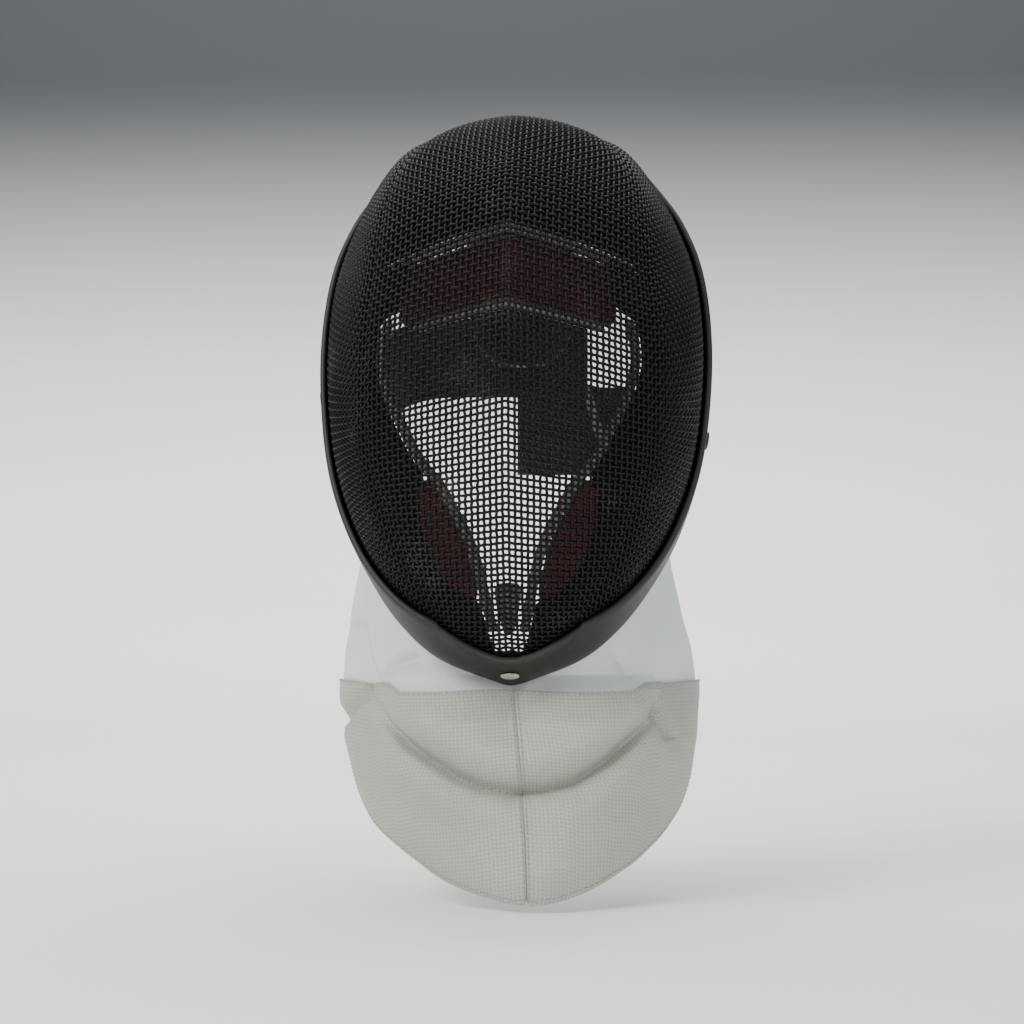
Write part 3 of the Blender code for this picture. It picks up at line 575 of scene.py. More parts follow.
def lining_finish():
    """Matt black lining cloth with a fine weave."""
    dull = {"Sheen Weight": 0.02, "Specular IOR Level": 0.2}
    made = Finish("lining_black_cloth", (0.004, 0.004, 0.0045), 0.9, 0.0, dull)
    across, along, _ = made.cloth_axes()
    weave = plain_weave(across, along, CLOTH_PITCH)
    cloud = made.noise(made.object_place(), 30.0, 3.0)
    colour = made.blend(weave * 0.5 + cloud * 0.4, (0.005, 0.005, 0.0052), (0.013, 0.013, 0.0134))
    made.set("Base Color", colour)
    made.set("Roughness", 0.84 + weave * 0.1)
    made.relief(weave, 0.00020, 0.5)
    return made.material


def binding_finish():
    """Pale cotton binding with a fine rib across it."""
    made = Finish("edging_binding", (0.40, 0.40, 0.37), 0.82, 0.0, {"Sheen Weight": 0.2})
    _, along, flat = made.cloth_axes()
    ribs = (along * (math.pi / BINDING_RIB)).sine()
    slub = made.noise(made.stretch(flat, (300.0, 1200.0, 1.0)), 1.0, 2.0)
    cloud = made.noise(made.object_place(), 45.0, 3.0)
    base = made.blend(cloud.between(0.3, 0.7), (0.33, 0.33, 0.30), (0.46, 0.46, 0.425))
    made.set("Base Color", made.blend(slub * 0.3 + ribs * ribs * 0.16, base, (0.22, 0.22, 0.20)))
    made.relief(ribs * ribs + slub * 0.4, 0.00016, 0.6)
    return made.material


def elastic_finish(name, band=None):
    """Black ribbed elastic webbing. A band of this place and width across it, in metres, is woven pale."""
    made = Finish(name, (0.015, 0.015, 0.016), 0.74, 0.0, {"Sheen Weight": 0.3})
    across, along, flat = made.cloth_axes()
    ribs = (across * (math.pi / ELASTIC_RIB)).sine()
    picks = (along * (math.pi / ELASTIC_PICK)).sine()
    height = abs(ribs) * 0.7 + picks * picks * 0.4
    slub = made.noise(made.stretch(flat, (1500.0, 220.0, 1.0)), 1.0, 2.0)
    colour = made.blend(height * 0.45 + slub * 0.3, (0.003, 0.003, 0.0034), (0.012, 0.012, 0.013))
    if band:
        near = abs(along - band[0]).between(band[1] * 0.44, band[1] * 0.5, 1.0, 0.0)
        colour = made.blend(near, colour, (0.36, 0.36, 0.34))
    made.set("Base Color", colour)
    made.set("Roughness", 0.66 + height * 0.16)
    made.relief(height, 0.00030, 0.7)
    return made.material


def steel_finish():
    """Brushed spring steel with a faint heat tint."""
    made = Finish("tongue_spring_steel", (0.42, 0.42, 0.42), 0.34, 1.0)
    place = made.object_place()
    lines = made.noise(made.stretch(place, (2600.0, 40.0, 40.0)), 1.0, 3.0)
    cloud = made.noise(place, 30.0, 3.0)
    made.set("Base Color", made.blend(cloud.between(0.35, 0.7), (0.36, 0.365, 0.38), (0.50, 0.49, 0.46)))
    made.set("Roughness", 0.24 + lines * 0.24)
    made.relief(lines, 0.00006, 0.5)
    return made.material


def button_finish(name, dark, light, roughness):
    """Moulded or plated button with fine rub marks."""
    made = Finish(name, light, roughness)
    place = made.object_place()
    cloud = made.noise(place, 420.0, 4.0)
    pits = made.noise(place, 2400.0, 2.0)
    made.set("Base Color", made.blend(cloud.between(0.35, 0.70), light, dark))
    made.set("Roughness", roughness - 0.08 + cloud * 0.22)
    made.relief(pits, 0.00005, 0.5)
    return made.material


def thread_finish(name, colour):
    """Twisted sewing thread."""
    made = Finish(name, colour, 0.7, 0.0, {"Sheen Weight": 0.2})
    place = made.object_place()
    twist = made.noise(place, 3200.0, 1.0)
    dark = tuple(c * 0.6 for c in colour)
    made.set("Base Color", made.blend(twist.between(0.4, 0.6), dark, colour))
    made.relief(twist, 0.00008, 0.5)
    return made.material


def mesh_of(name, points, faces, look, places=None):
    """An object from points and arrays of faces, smooth, with its cloth distances where they are given."""
    mesh = bpy.data.meshes.new(name)
    corners = np.concatenate([np.asarray(f).ravel() for f in faces])
    sizes = np.concatenate([np.full(len(f), np.asarray(f).shape[1]) for f in faces])
    mesh.vertices.add(len(points))
    mesh.vertices.foreach_set("co", np.asarray(points, np.float32).ravel())
    mesh.loops.add(len(corners))
    mesh.loops.foreach_set("vertex_index", corners.astype(np.int32))
    mesh.polygons.add(len(sizes))
    mesh.polygons.foreach_set("loop_start", np.concatenate([[0], np.cumsum(sizes)[:-1]]).astype(np.int32))
    mesh.update(calc_edges=True)
    if places is not None:
        layer = mesh.uv_layers.new(name="cloth")
        layer.data.foreach_set("uv", np.asarray(places, np.float32)[corners].ravel())
    mesh.shade_smooth()
    mesh.materials.append(look)
    made = bpy.data.objects.new(name, mesh)
    SCENE.collection.objects.link(made)
    return made


def seat(made, slot, *nodes):
    """The piece rides with the mask and stands for these solids, which are hidden; the slot is not used."""
    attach(made, "root")
    if nodes:
        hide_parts(*nodes)
    return made


def run_of(points, axis=0):
    """Distances along a grid or line of points."""
    step = np.linalg.norm(np.diff(points, axis=axis), axis=-1)
    zero = np.zeros_like(np.take(step, [0], axis=axis))
    return np.concatenate([zero, np.cumsum(step, axis=axis)], axis=axis)


def cloth_slab(name, outer, inner, look):
    """A sheet between two grids of points, closed round its edges, with crisp corners at its cut edge."""
    rows, columns = outer.shape[:2]
    index = np.arange(rows * columns).reshape(rows, columns)
    a, b, c, d = index[:-1, :-1], index[:-1, 1:], index[1:, 1:], index[1:, :-1]
    front = np.stack([a, b, c, d], -1).reshape(-1, 4)
    back = np.stack([a, d, c, b], -1).reshape(-1, 4) + index.size
    border = np.concatenate([index[0, :], index[1:, -1], index[-1, -2::-1], index[-2:0:-1, 0]])
    after = np.roll(border, -1)
    rim = np.stack([after, border, border + index.size, after + index.size], -1)
    middle = columns // 2
    across = run_of(outer, 1)
    across = across - across[:, middle: middle + 1]
    places = np.stack([across, run_of(outer, 0)], -1).reshape(-1, 2)
    points = np.concatenate([outer.reshape(-1, 3), inner.reshape(-1, 3)])
    made = mesh_of(name, points, [front, back, rim], look, np.concatenate([places, places]))
    turn_out(made)
    made.data.set_sharp_from_angle(angle=math.radians(60))
    return made


def turn_out(made):
    """Turns every face of a closed piece outward."""
    shape = bmesh.new()
    shape.from_mesh(made.data)
    bmesh.ops.recalc_face_normals(shape, faces=shape.faces)
    if shape.calc_volume(signed=True) < 0:
        bmesh.ops.reverse_faces(shape, faces=shape.faces)
    shape.to_mesh(made.data)
    shape.free()
    made.data.shade_smooth()


def tube_faces(count, sides, first, loop=False):
    """Side faces of a tube whose points start at first, and its two end faces unless it is a ring."""
    index = np.arange(count * sides).reshape(count, sides) + first
    rows = index if loop else index[:-1]
    after = np.roll(index, -1, 0) if loop else index[1:]
    quads = np.stack([rows, np.roll(rows, -1, 1), np.roll(after, -1, 1), after], -1).reshape(-1, 4)
    return quads, [] if loop else [index[0][::-1], index[-1]]


def around(middle, beside, up, radius, sides):
    """Rings of points about places on a line, from the two directions across it at each."""
    angles = np.arange(sides) * 2 * math.pi / sides
    turned = np.cos(angles)[None, :, None] * beside[:, None] + np.sin(angles)[None, :, None] * up[:, None]
    return middle[:, None] + radius * turned


def ring_places(rings):
    """Cloth distances on the rings of a tube: round it and along it."""
    closed = np.concatenate([rings, rings[:, :1]], 1)
    round_it = run_of(closed, 1)[:, :-1]
    along = run_of(rings.mean(1))[:, None] + 0 * round_it
    return np.stack([round_it, along], -1).reshape(-1, 2)


def round_cord(name, path, radius, look, sides=PIPING_SIDES, lumps=PIPING_LUMPS):
    """A round piping along a path, its ends closed over."""
    tangent = unit(np.gradient(path, axis=0))
    side = unit(np.cross(tangent, np.array([0.31, 0.53, 0.79])))
    run = run_of(path)
    sizes = radius * (1 + lumps * np.sin(run * 900) * np.sin(run * 370 + 1))
    ends = np.minimum(run, run[-1] - run) / radius
    sizes = sizes * np.sqrt(np.clip(1 - (1 - np.clip(ends, 0, 1)) ** 2, 0.06, 1))
    for k in range(1, len(path)):
        side[k] = unit(side[k - 1] - (side[k - 1] * tangent[k]).sum() * tangent[k])
    rings = around(path, side, np.cross(tangent, side), sizes[:, None, None], sides)
    quads, ends = tube_faces(len(rings), sides, 0)
    made = mesh_of(name, rings.reshape(-1, 3), [quads, np.array(ends)], look, ring_places(rings))
    turn_out(made)
    return made


def resample(path, step):
    """Points at an even step along a path."""
    run = run_of(path)
    at = np.linspace(0, run[-1], max(2, int(run[-1] / step) + 1))
    return np.stack([np.interp(at, run, path[:, k]) for k in range(3)], -1)


def stitches(name, path, ground, look, pitch=STITCH):
    """A row of sewn stitches along a path, laid on the surface of the ground piece."""
    ground_tree = BVHTree.FromObject(ground, bpy.context.evaluated_depsgraph_get())
    points = resample(path, pitch)
    rings, quads, caps = [], [], []
    for start, end in zip(points[:-1], points[1:]):
        places = start + (end - start) * np.linspace(*STITCH_SHARE, len(STITCH_LIFT))[:, None]
        found = [ground_tree.find_nearest(Vector(place)) for place in places]
        normal = np.array([hit[1] for hit in found])
        middle = np.array([hit[0] for hit in found]) + normal * THREAD_RADIUS * STITCH_LIFT[:, None]
        beside = unit(np.cross(normal, unit(np.gradient(middle, axis=0))))
        up = np.cross(unit(np.gradient(middle, axis=0)), beside)
        sides, ends = tube_faces(len(middle), THREAD_SIDES, len(rings) * len(middle) * THREAD_SIDES)
        rings.append(around(middle, beside, up, THREAD_RADIUS, THREAD_SIDES).reshape(-1, 3))
        quads.append(sides)
        caps += ends
    made = mesh_of(name, np.concatenate(rings), [np.concatenate(quads), np.array(caps)], look)
    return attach(made, "root")


def woven_wires(name, lines, look):
    """Wires in one piece. Each line has its places t and s and its lift off the middle of the mesh."""
    sizes = [len(line[0]) for line in lines]
    t, s, lift = (np.concatenate([line[k] for line in lines]) for k in range(3))
    normal = mesh_normal(t, s)
    middle = mesh_surface(t, s) + normal * lift[:, None]
    points, quads, caps, first = [], [], [], 0
    for size in sizes:
        here = slice(first, first + size)
        along = unit(np.gradient(middle[here], axis=0))
        beside = unit(np.cross(along, normal[here]))
        rings = around(middle[here], beside, np.cross(beside, along), WIRE_RADIUS, WIRE_SIDES)
        points.append(rings.reshape(-1, 3))
        sides, ends = tube_faces(size, WIRE_SIDES, first * WIRE_SIDES)
        quads.append(sides)
        caps += ends
        first += size
    made = mesh_of(name, np.concatenate(points), [np.concatenate(quads), np.array(caps)], look)
    return seat(made, "black_wire", "wire_mesh")


def build_wires():
    """Long wires run up beside the ridge, cross wires from rim to rim, and each passes over and under."""
    look = wire_finish()
    rows = int(RIDGE_LENGTH / WIRE_PITCH)
    step = np.arange(0.5, 2 * rows - 0.5) / 2
    t = step / rows
    front, side = spans(t)
    half = front + side
    most = int(half.max() / WIRE_PITCH)
    long_wires = {"left": [], "right": []}
    for k in range(-most, most + 1):
        away = (k + 0.5) * WIRE_PITCH
        inside = np.flatnonzero(abs(away) < half - WIRE_RADIUS)
        if len(inside) < LONG_WIRE_LEAST:
            continue
        keep = slice(inside[0], inside[-1] + 1)
        s = away / half[keep]
        lift = WIRE_LIFT * np.cos(math.pi * (step[keep] + k))
        long_wires["left" if k < 0 else "right"].append((t[keep], s, lift))
    for name, lines in long_wires.items():
        woven_wires("wires_long_" + name, lines, look)
    cross_wires = {"lower": [], "upper": []}
    for row in range(rows):
        place = row / rows
        front, side = spans(np.array([place]))
        length = float((front + side)[0])
        count = int((length - WIRE_RADIUS) / (WIRE_PITCH / 2))
        if count < CROSS_WIRE_LEAST:
            continue
        away = np.arange(-count, count + 1) * WIRE_PITCH / 2
        lift = -WIRE_LIFT * np.cos(math.pi * (row + away / WIRE_PITCH - 0.5))
        line = (np.full(len(away), place), away / length, lift)
        cross_wires["lower" if row < rows * CROSS_WIRES_SPLIT else "upper"].append(line)
    for name, lines in cross_wires.items():
        woven_wires("wires_cross_" + name, lines, look)


def build_trim():
    """The rubber channel round the cut edge: a wide outer leg, a rolled lip, a shorter inner leg."""
    t, s, edge, into, normal = rim_frames(TRIM_STATIONS)
    near = MESH_WALL / 2 + TRIM_GAP
    far = near + TRIM_WALL

    def station(distance, height):
        if distance <= 0:
            return edge + into * distance + normal * height
        at_t, at_s = inward(t, s, into, distance)
        for _ in range(TRIM_SMOOTHINGS):
            at_t, at_s = ((np.roll(k, 1) + 2 * k + np.roll(k, -1)) / 4 for k in (at_t, at_s))
        return mesh_surface(at_t, at_s) + mesh_normal(at_t, at_s) * height

    section = [(TRIM_OUTER_LEG * along, far * out) for along, out in OUTER_LEG_FACE]
    section += [(TRIM_OUTER_LEG * along, near) for along in (1, 0.6, 0.3)]
    section += [(-TRIM_GAP, near), (-TRIM_GAP, -near)]
    section += [(TRIM_INNER_LEG * along, -near) for along in (0.5, 1)]
    section += [(TRIM_INNER_LEG * along, -far * out) for along, out in INNER_LEG_FACE]
    for turn in np.linspace(-1, 1, 9)[1:-1]:
        angle = turn * math.pi / 2
        section.append((-TRIM_LIP * math.cos(angle), far * math.sin(angle)))
    rings = np.stack([station(*place) for place in section], 1)
    quads, _ = tube_faces(len(rings), len(section), 0, loop=True)
    round_it = np.array([max(distance, 0) for distance, _ in section])
    along = run_of(rings.mean(1))
    places = np.stack(np.broadcast_arrays(round_it, along[:, None]), -1).reshape(-1, 2)
    made = mesh_of("trim_channel", rings.reshape(-1, 3), [quads], rubber_finish(), places)
    turn_out(made)
    return seat(made, "black_rubber", "edge_trim")


RIM = rim_frames(RIM_COUNT)


def bib_surface(a, b):
    """Points of the bib at rest: a runs from its left end to its right, b from the trim down to the hem."""
    _, _, edge, into, _ = RIM
    order = np.arange(-RIM_COUNT // 4, RIM_COUNT // 4 + 1)
    run = order / RIM_COUNT
    lip = (edge - into * (TRIM_LIP + BIB_GAP))[order]
    top = np.stack([np.interp(a * BIB_SIDE_REACH, run, lip[:, k]) for k in range(3)], -1)
    turn = np.abs(a) * math.pi / 2
    base = CROWN_ABOVE_SEAT - MASK_HEIGHT - BIB_DROP + BIB_HEM_HEIGHT
    sway = BIB_SWAY * (BIB_SWAY_AT_SIDE + (1 - BIB_SWAY_AT_SIDE) * np.cos(turn))
    hem = np.stack(
        [
            sway + np.sign(a) * BIB_HALF_WIDTH * np.sin(turn) ** BIB_HEM_TAPER,
            BIB_HEM_SIDE - (BIB_HEM_FRONT + BIB_HEM_SIDE) * np.cos(turn),
            base - BIB_HEM_HEIGHT * np.cos(turn),
        ],
        -1,
    )
    start = np.stack([np.interp(a * BIB_SIDE_REACH, run, -into[order, k]) for k in range(3)], -1)
    outward = unit((hem - np.array([0, BIB_BULGE_FROM, 0])) * np.array([1, 1, 0]))
    end = np.array([0, 0, -BIB_DROP]) * BIB_HANG - outward * BIB_BULGE
    return curve_between(b[..., None], top, start * BIB_TUCK, hem, end)


def grid_normal(points):
    """Unit normals of a grid of points."""
    return unit(np.cross(np.gradient(points, axis=0), np.gradient(points, axis=1)))


def line_distance(x, z, line):
    """Distance from each place to a fold line, and how far along the line it lies, from 0 to 1."""
    line = np.asarray(line, float)
    best, where = np.full(x.shape, 1e3), np.zeros(x.shape)
    lengths = run_of(line)
    for k in range(len(line) - 1):
        (x0, z0), (x1, z1) = line[k], line[k + 1]
        q = np.clip(((x - x0) * (x1 - x0) + (z - z0) * (z1 - z0)) / ((x1 - x0) ** 2 + (z1 - z0) ** 2), 0, 1)
        away = np.hypot(x - x0 - q * (x1 - x0), z - z0 - q * (z1 - z0))
        closer = away < best
        best = np.where(closer, away, best)
        where = np.where(closer, (lengths[k] + q * (lengths[k + 1] - lengths[k])) / lengths[-1], where)
    return best, where


def crease(x, z, line, width):
    """A line pressed into the cloth, from 0 beside it to 1 on it, fading towards its ends."""
    away, where = line_distance(x, z, line)
    return np.exp(-((away / width) ** 2)) * np.clip(9 * where * (1 - where), 0.25, 1)


def bib_folds(points):
    """How far the cloth stands off its resting shape."""
    nearer = VIEW_DISTANCE / (VIEW_DISTANCE + points[..., 1])
    x = VIEW_SIDE + (points[..., 0] - VIEW_SIDE) * nearer
    z = VIEW_HEIGHT + (points[..., 2] - VIEW_HEIGHT) * nearer
    smile = np.asarray(SMILE_FOLD)
    away, where = line_distance(x, z, smile)
    level = np.interp(x, smile[:, 0], smile[:, 1], left=0, right=0)
    inside = (z > level) & (x > smile[0, 0]) & (x < smile[-1, 0])
    over = np.where(inside, 1 - np.exp(-((away / 0.009) ** 2)), 0)
    over = over * np.interp(z, [-0.350, -0.322, -0.302, -0.292], [1.0, 1.0, 0.6, 0.0])
    stand = SWELL_OVER_SMILE * over - SMILE_DEPTH * crease(x, z, smile, SMILE_WIDTH)
    under = np.where(~inside & (away < 0.03), np.exp(-(((away - 0.012) / 0.009) ** 2)), 0)
    stand = stand + SWELL_UNDER_SMILE * under * np.clip(6 * where * (1 - where), 0, 1)
    for line, depth, width in PRESSED_FOLDS:
        stand = stand - depth * crease(x, z, line, width)
    for (x0, z0), wide, tall, height in RAISED_PLACES:
        stand = stand + height * np.exp(-(((x - x0) / wide) ** 2 + ((z - z0) / tall) ** 2))
    slow = np.sin(x * 61 + 0.7) * np.sin(z * 47 + 1.1) + 0.6 * np.sin(x * 113 - z * 71 + 2.0)
    wrinkle = 0.30 * np.sin(x * 260 + z * 95) * np.sin(z * 190 - x * 60 + 0.6)
    return stand + 0.0010 * slow + 0.0007 * wrinkle


def bib_start(at):
    """How far down the bib its cover starts at this place across it."""
    down = np.linspace(0, 1, 60)
    height = bib_surface(np.full(60, at), down)[:, 2]
    step = BIB_COVER_STEP * np.interp(abs(at), BIB_COVER_STEP_AT, [0, 1])
    return float(np.interp(MASK_HEIGHT - CROWN_ABOVE_SEAT + BIB_COVER_DOWN - step, -height, down))


def hem_notch(a, b):
    """The hem rises a little at the seam."""
    low = np.clip((b - HEM_NOTCH_FROM) / (1 - HEM_NOTCH_FROM), 0, 1)
    return HEM_NOTCH * np.exp(-((a / HEM_NOTCH_WIDTH) ** 2)) * low**2


def build_bib():
    """White cloth hung from the trim down to the hem, and the grey cover over its lower part."""
    across = np.linspace(-1, 1, BIB_ACROSS + 1)
    a, down = np.meshgrid(across, np.linspace(0, 1, BIB_DOWN + 1))
    rest = bib_surface(a, down)
    normal = grid_normal(rest)
    hold = np.clip(down / HELD_BY_TRIM, 0, 1)[..., None] ** 1.5
    seam = WHITE_SEAM_DEPTH * np.exp(-((a / WHITE_SEAM_WIDTH) ** 2))[..., None] * hold
    stand = bib_folds(rest)[..., None] * hold - seam
    rest[..., 2] += hem_notch(a, down)
    middle = rest + normal * stand
    half_wall = normal * BIB_WALL / 2
    white = cloth_slab("bib_white", middle + half_wall, middle - half_wall, white_cloth_finish())
    seat(white, "white_cloth", "bib")
    start = np.array([bib_start(k) for k in across])
    b = start + (1 - start) * down
    rest = bib_surface(a, b)
    normal = grid_normal(rest)
    seam = COVER_SEAM_DEPTH * np.exp(-((a / COVER_SEAM_WIDTH) ** 2))[..., None]
    stand = bib_folds(rest)[..., None] - seam + BIB_WALL / 2 + BIB_GAP
    rest[..., 2] += hem_notch(a, b)
    middle = rest + normal * stand
    top = middle + normal * BIB_COVER_WALL
    cover = cloth_slab("bib_cover_cloth", top, middle, cover_finish())
    seat(cover, "conductive_cloth", "bib_cover")
    grey = thread_finish("thread_grey", (0.36, 0.36, 0.33))
    pale = thread_finish("thread_white", (0.60, 0.62, 0.63))
    stitches("stitch_cover_top", top[2], cover, grey)
    stitches("stitch_hem", top[-5], cover, grey)
    half = BIB_ACROSS // 2
    for name, column in (("left", half - 2), ("right", half + 2)):
        stitches("stitch_seam_" + name, top[3:-2, column], cover, grey)
        upper = bib_surface(a, down)[:, column]
        upper = upper[upper[:, 2] > top[0, column, 2] + 0.001]
        stitches("stitch_white_seam_" + name, upper[2:], white, pale, pitch=FINE_STITCH)


def half_length(t):
    """Length of the mesh from ridge to rim at these places."""
    front, side = spans(t)
    return front + side


def side_share(name, t):
    """Where an edge of the side padding lies at this place up the ridge."""
    return np.interp(t, SIDE["up"], SIDE[name])


def reach_of_lining(t):
    """How far out from the ridge the lining goes at each place before it is held in the trim."""
    s = np.linspace(0, 1, 201)
    rim = mesh_surface(*rim_loop(RIM_COUNT))
    found = []
    for k in t:
        away = np.linalg.norm(mesh_surface(k, s)[:, None] - rim, axis=-1).min(1)
        found.append(s[away >= LINING_FROM_RIM].max())
    return np.array(found)


def lining(node, t, s, look):
    """Black cloth laid against the inside of the mesh, with soft hollows where it isn't held."""
    points = mesh_surface(t, s)
    normal = mesh_normal(t, s)
    x, y, z = np.moveaxis(points, -1, 0)
    slack = 0.5 + 0.5 * np.sin(z * 210 + x * 95) * np.sin(y * 170 + 0.8)
    near = LINING_DEPTH + LINING_SLACK * slack[..., None]
    outer, inner = points - normal * near, points - normal * (near + LINING_WALL)
    made = cloth_slab("cloth_" + node, outer, inner, look)
    seat(made, "black_cloth", node)


def piping_beside(t):
    """How far out from the ridge the piping beside the face lies at these places."""
    places = np.linspace(*EDGING_ENDS, PIPING_STATIONS)
    beside = side_share("edge", places) - EDGING_ASIDE / half_length(places)
    for _ in range(PIPING_SMOOTHINGS):
        beside[1:-1] = (beside[:-2] + 2 * beside[1:-1] + beside[2:]) / 4
    return np.interp(t, places, beside, right=0)


def build_linings():
    """Three panels of black cloth: one over the crown and one down each side of the face."""
    look = lining_finish()
    piping = FOREHEAD_PAD_ENDS[1] + (EDGING_RADIUS + PAD_GAP + CLEARANCE) / RIDGE_LENGTH
    top = piping - LINING_OVER_PIPING / RIDGE_LENGTH
    t = np.linspace(LINING_ENDS[0], top, 110)
    half = half_length(t)
    pad = np.min([side_share("pad_back", t + k * LINING_PAST_PAD_END) for k in (-1, 0, 1)], axis=0)
    front = np.maximum(piping_beside(t) + LINING_OVER_PIPING / half, pad - LINING_OVER_PAD / half)[:, None]
    back = reach_of_lining(t)[:, None]
    q = np.linspace(0, 1, 60)[None, :]
    for name, side in (("left", -1), ("right", 1)):
        s = side * (front * (1 - q) + back * q)
        lining("side_lining_" + name, np.broadcast_to(t[:, None], s.shape), s, look)
    low = piping + LINING_OVER_PIPING / RIDGE_LENGTH
    up = np.linspace(0, 1, 80)
    t = low + (LINING_ENDS[1] - low) * up
    s = np.linspace(-1, 1, 240)[None, :] * reach_of_lining(t)[:, None]
    down = (low - top - CLEARANCE / RIDGE_LENGTH) * np.interp(np.abs(s), CROWN_LINING_DIPS, [0, 1])
    lining("crown_lining", t[:, None] - down * (1 - up[:, None]), s, look)


def build_edgings():
    """Piping up beside the face on both sides and along the forehead pad."""
    look = binding_finish()
    depth = MESH_WALL / 2 + PAD_GAP + EDGING_RADIUS + EDGING_LIFT
    t = np.linspace(*EDGING_ENDS, PIPING_STATIONS)
    for name, side in (("left", -1), ("right", 1)):
        s = side * piping_beside(t)
        path = mesh_surface(t, s) - mesh_normal(t, s) * depth
        made = round_cord("piping_cheek_" + name, resample(path, PIPING_STEP), EDGING_RADIUS, look)
        seat(made, "edging_cloth", "cheek_edging_" + name)
    aside = (EDGING_RADIUS + PAD_GAP + CLEARANCE) / RIDGE_LENGTH
    depth = MESH_WALL / 2 + PAD_GAP + EDGING_RADIUS
    low, high = FOREHEAD_PAD_ENDS
    for name, at, reach in zip(("lower", "upper"), (low - aside, high + aside), FOREHEAD_EDGING_SIDES):
        s = np.linspace(-reach, reach, 60)
        path = mesh_surface(at, s) - mesh_normal(at, s) * depth
        made = round_cord("piping_forehead_" + name, resample(path, PIPING_STEP), EDGING_RADIUS, look)
        seat(made, "edging_cloth", "forehead_edging_" + name)


def swell(name, node, look, fuller):
    """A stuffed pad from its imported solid: it swells under pressure, but not towards the mesh."""
    shape = bmesh.new()
    shape.from_mesh(NODES[node].data)
    bmesh.ops.remove_doubles(shape, verts=shape.verts, dist=1e-5)
    mesh = bpy.data.meshes.new(name)
    shape.to_mesh(mesh)
    shape.free()
    made = bpy.data.objects.new(name, mesh)
    SCENE.collection.objects.link(made)
    remesh = made.modifiers.new("even_faces", "REMESH")
    remesh.mode = "VOXEL"
    remesh.voxel_size = PAD_FACE
    mesh = settle(made)
    count = len(mesh.vertices)
    points, normals = np.zeros(count * 3, np.float32), np.zeros(count * 3, np.float32)
    mesh.vertices.foreach_get("co", points)
    mesh.vertex_normals.foreach_get("vector", normals)
    points, normals = points.reshape(-1, 3), normals.reshape(-1, 3)
    away = unit(points - BOW_CENTRE)
    points = points + normals * fuller - away * PAD_UNDER_LINING
    mesh.vertices.foreach_set("co", points.ravel())
    cloth = made.modifiers.new("filling", "CLOTH")
    cloth.settings.use_pressure = True
    cloth.settings.uniform_pressure_force = 4.0
    cloth.settings.quality = 6
    cloth.settings.mass = 0.25
    cloth.settings.tension_stiffness = 18
    cloth.settings.compression_stiffness = 18
    cloth.settings.bending_stiffness = 1.5
    cloth.settings.effector_weights.gravity = 0
    for number in range(1, SWELL_FRAMES + 1):
        SCENE.frame_set(number)
    evaluated = made.evaluated_get(bpy.context.evaluated_depsgraph_get())
    moved = np.zeros(count * 3, np.float32)
    evaluated.data.vertices.foreach_get("co", moved)
    made.modifiers.clear()
    SCENE.frame_set(1)
    step = moved.reshape(-1, 3) - points
    length = np.linalg.norm(step, axis=1, keepdims=True)
    step = step * np.minimum(1, SWELL_MOST / np.maximum(length, 1e-9))
    towards = (step * away).sum(1, keepdims=True)
    step = step - away * np.maximum(towards - SWELL_TOWARDS_MESH, 0)
    mesh.vertices.foreach_set("co", (points + step).ravel())
    mesh.materials.clear()
    mesh.materials.append(look)
    finer = made.modifiers.new("finer", "SUBSURF")
    finer.levels = finer.render_levels = 1
    settle(made)
    made.data.shade_smooth()
    return made


def settle(made):
    """Applies the modifiers of a piece and returns its new mesh."""
    bpy.context.view_layer.update()
    evaluated = made.evaluated_get(bpy.context.evaluated_depsgraph_get())
    mesh = bpy.data.meshes.new_from_object(evaluated)
    made.modifiers.clear()
    made.data = mesh
    return mesh


def build_pads():
    """Foam pads under dark red velour, the pale chin pad and the black tongue."""
    red = velour_finish("pad_red_velour", (0.095, 0.009, 0.018), (0.290, 0.026, 0.052))
    pale = velour_finish("chin_pale_velour", (0.20, 0.20, 0.18), (0.37, 0.37, 0.335))
    black = velour_finish("tongue_black_cloth", (0.006, 0.006, 0.007), (0.022, 0.022, 0.024), 1300.0)
    for name, node, look, slot, fuller in (
        ("pad_cheek_left", "cheek_pad_left", red, "red_cloth", 0.0),
        ("pad_cheek_right", "cheek_pad_right", red, "red_cloth", 0.0),
        ("pad_forehead", "forehead_pad", red, "red_cloth", 0.0006),
        ("pad_chin", "chin_pad", pale, "chin_cloth", 0.0004),
        ("pad_tongue", "back_tongue", black, "black_cloth", -0.0004),
    ):
        made = swell(name, node, look, fuller)
        seat(made, slot, node)


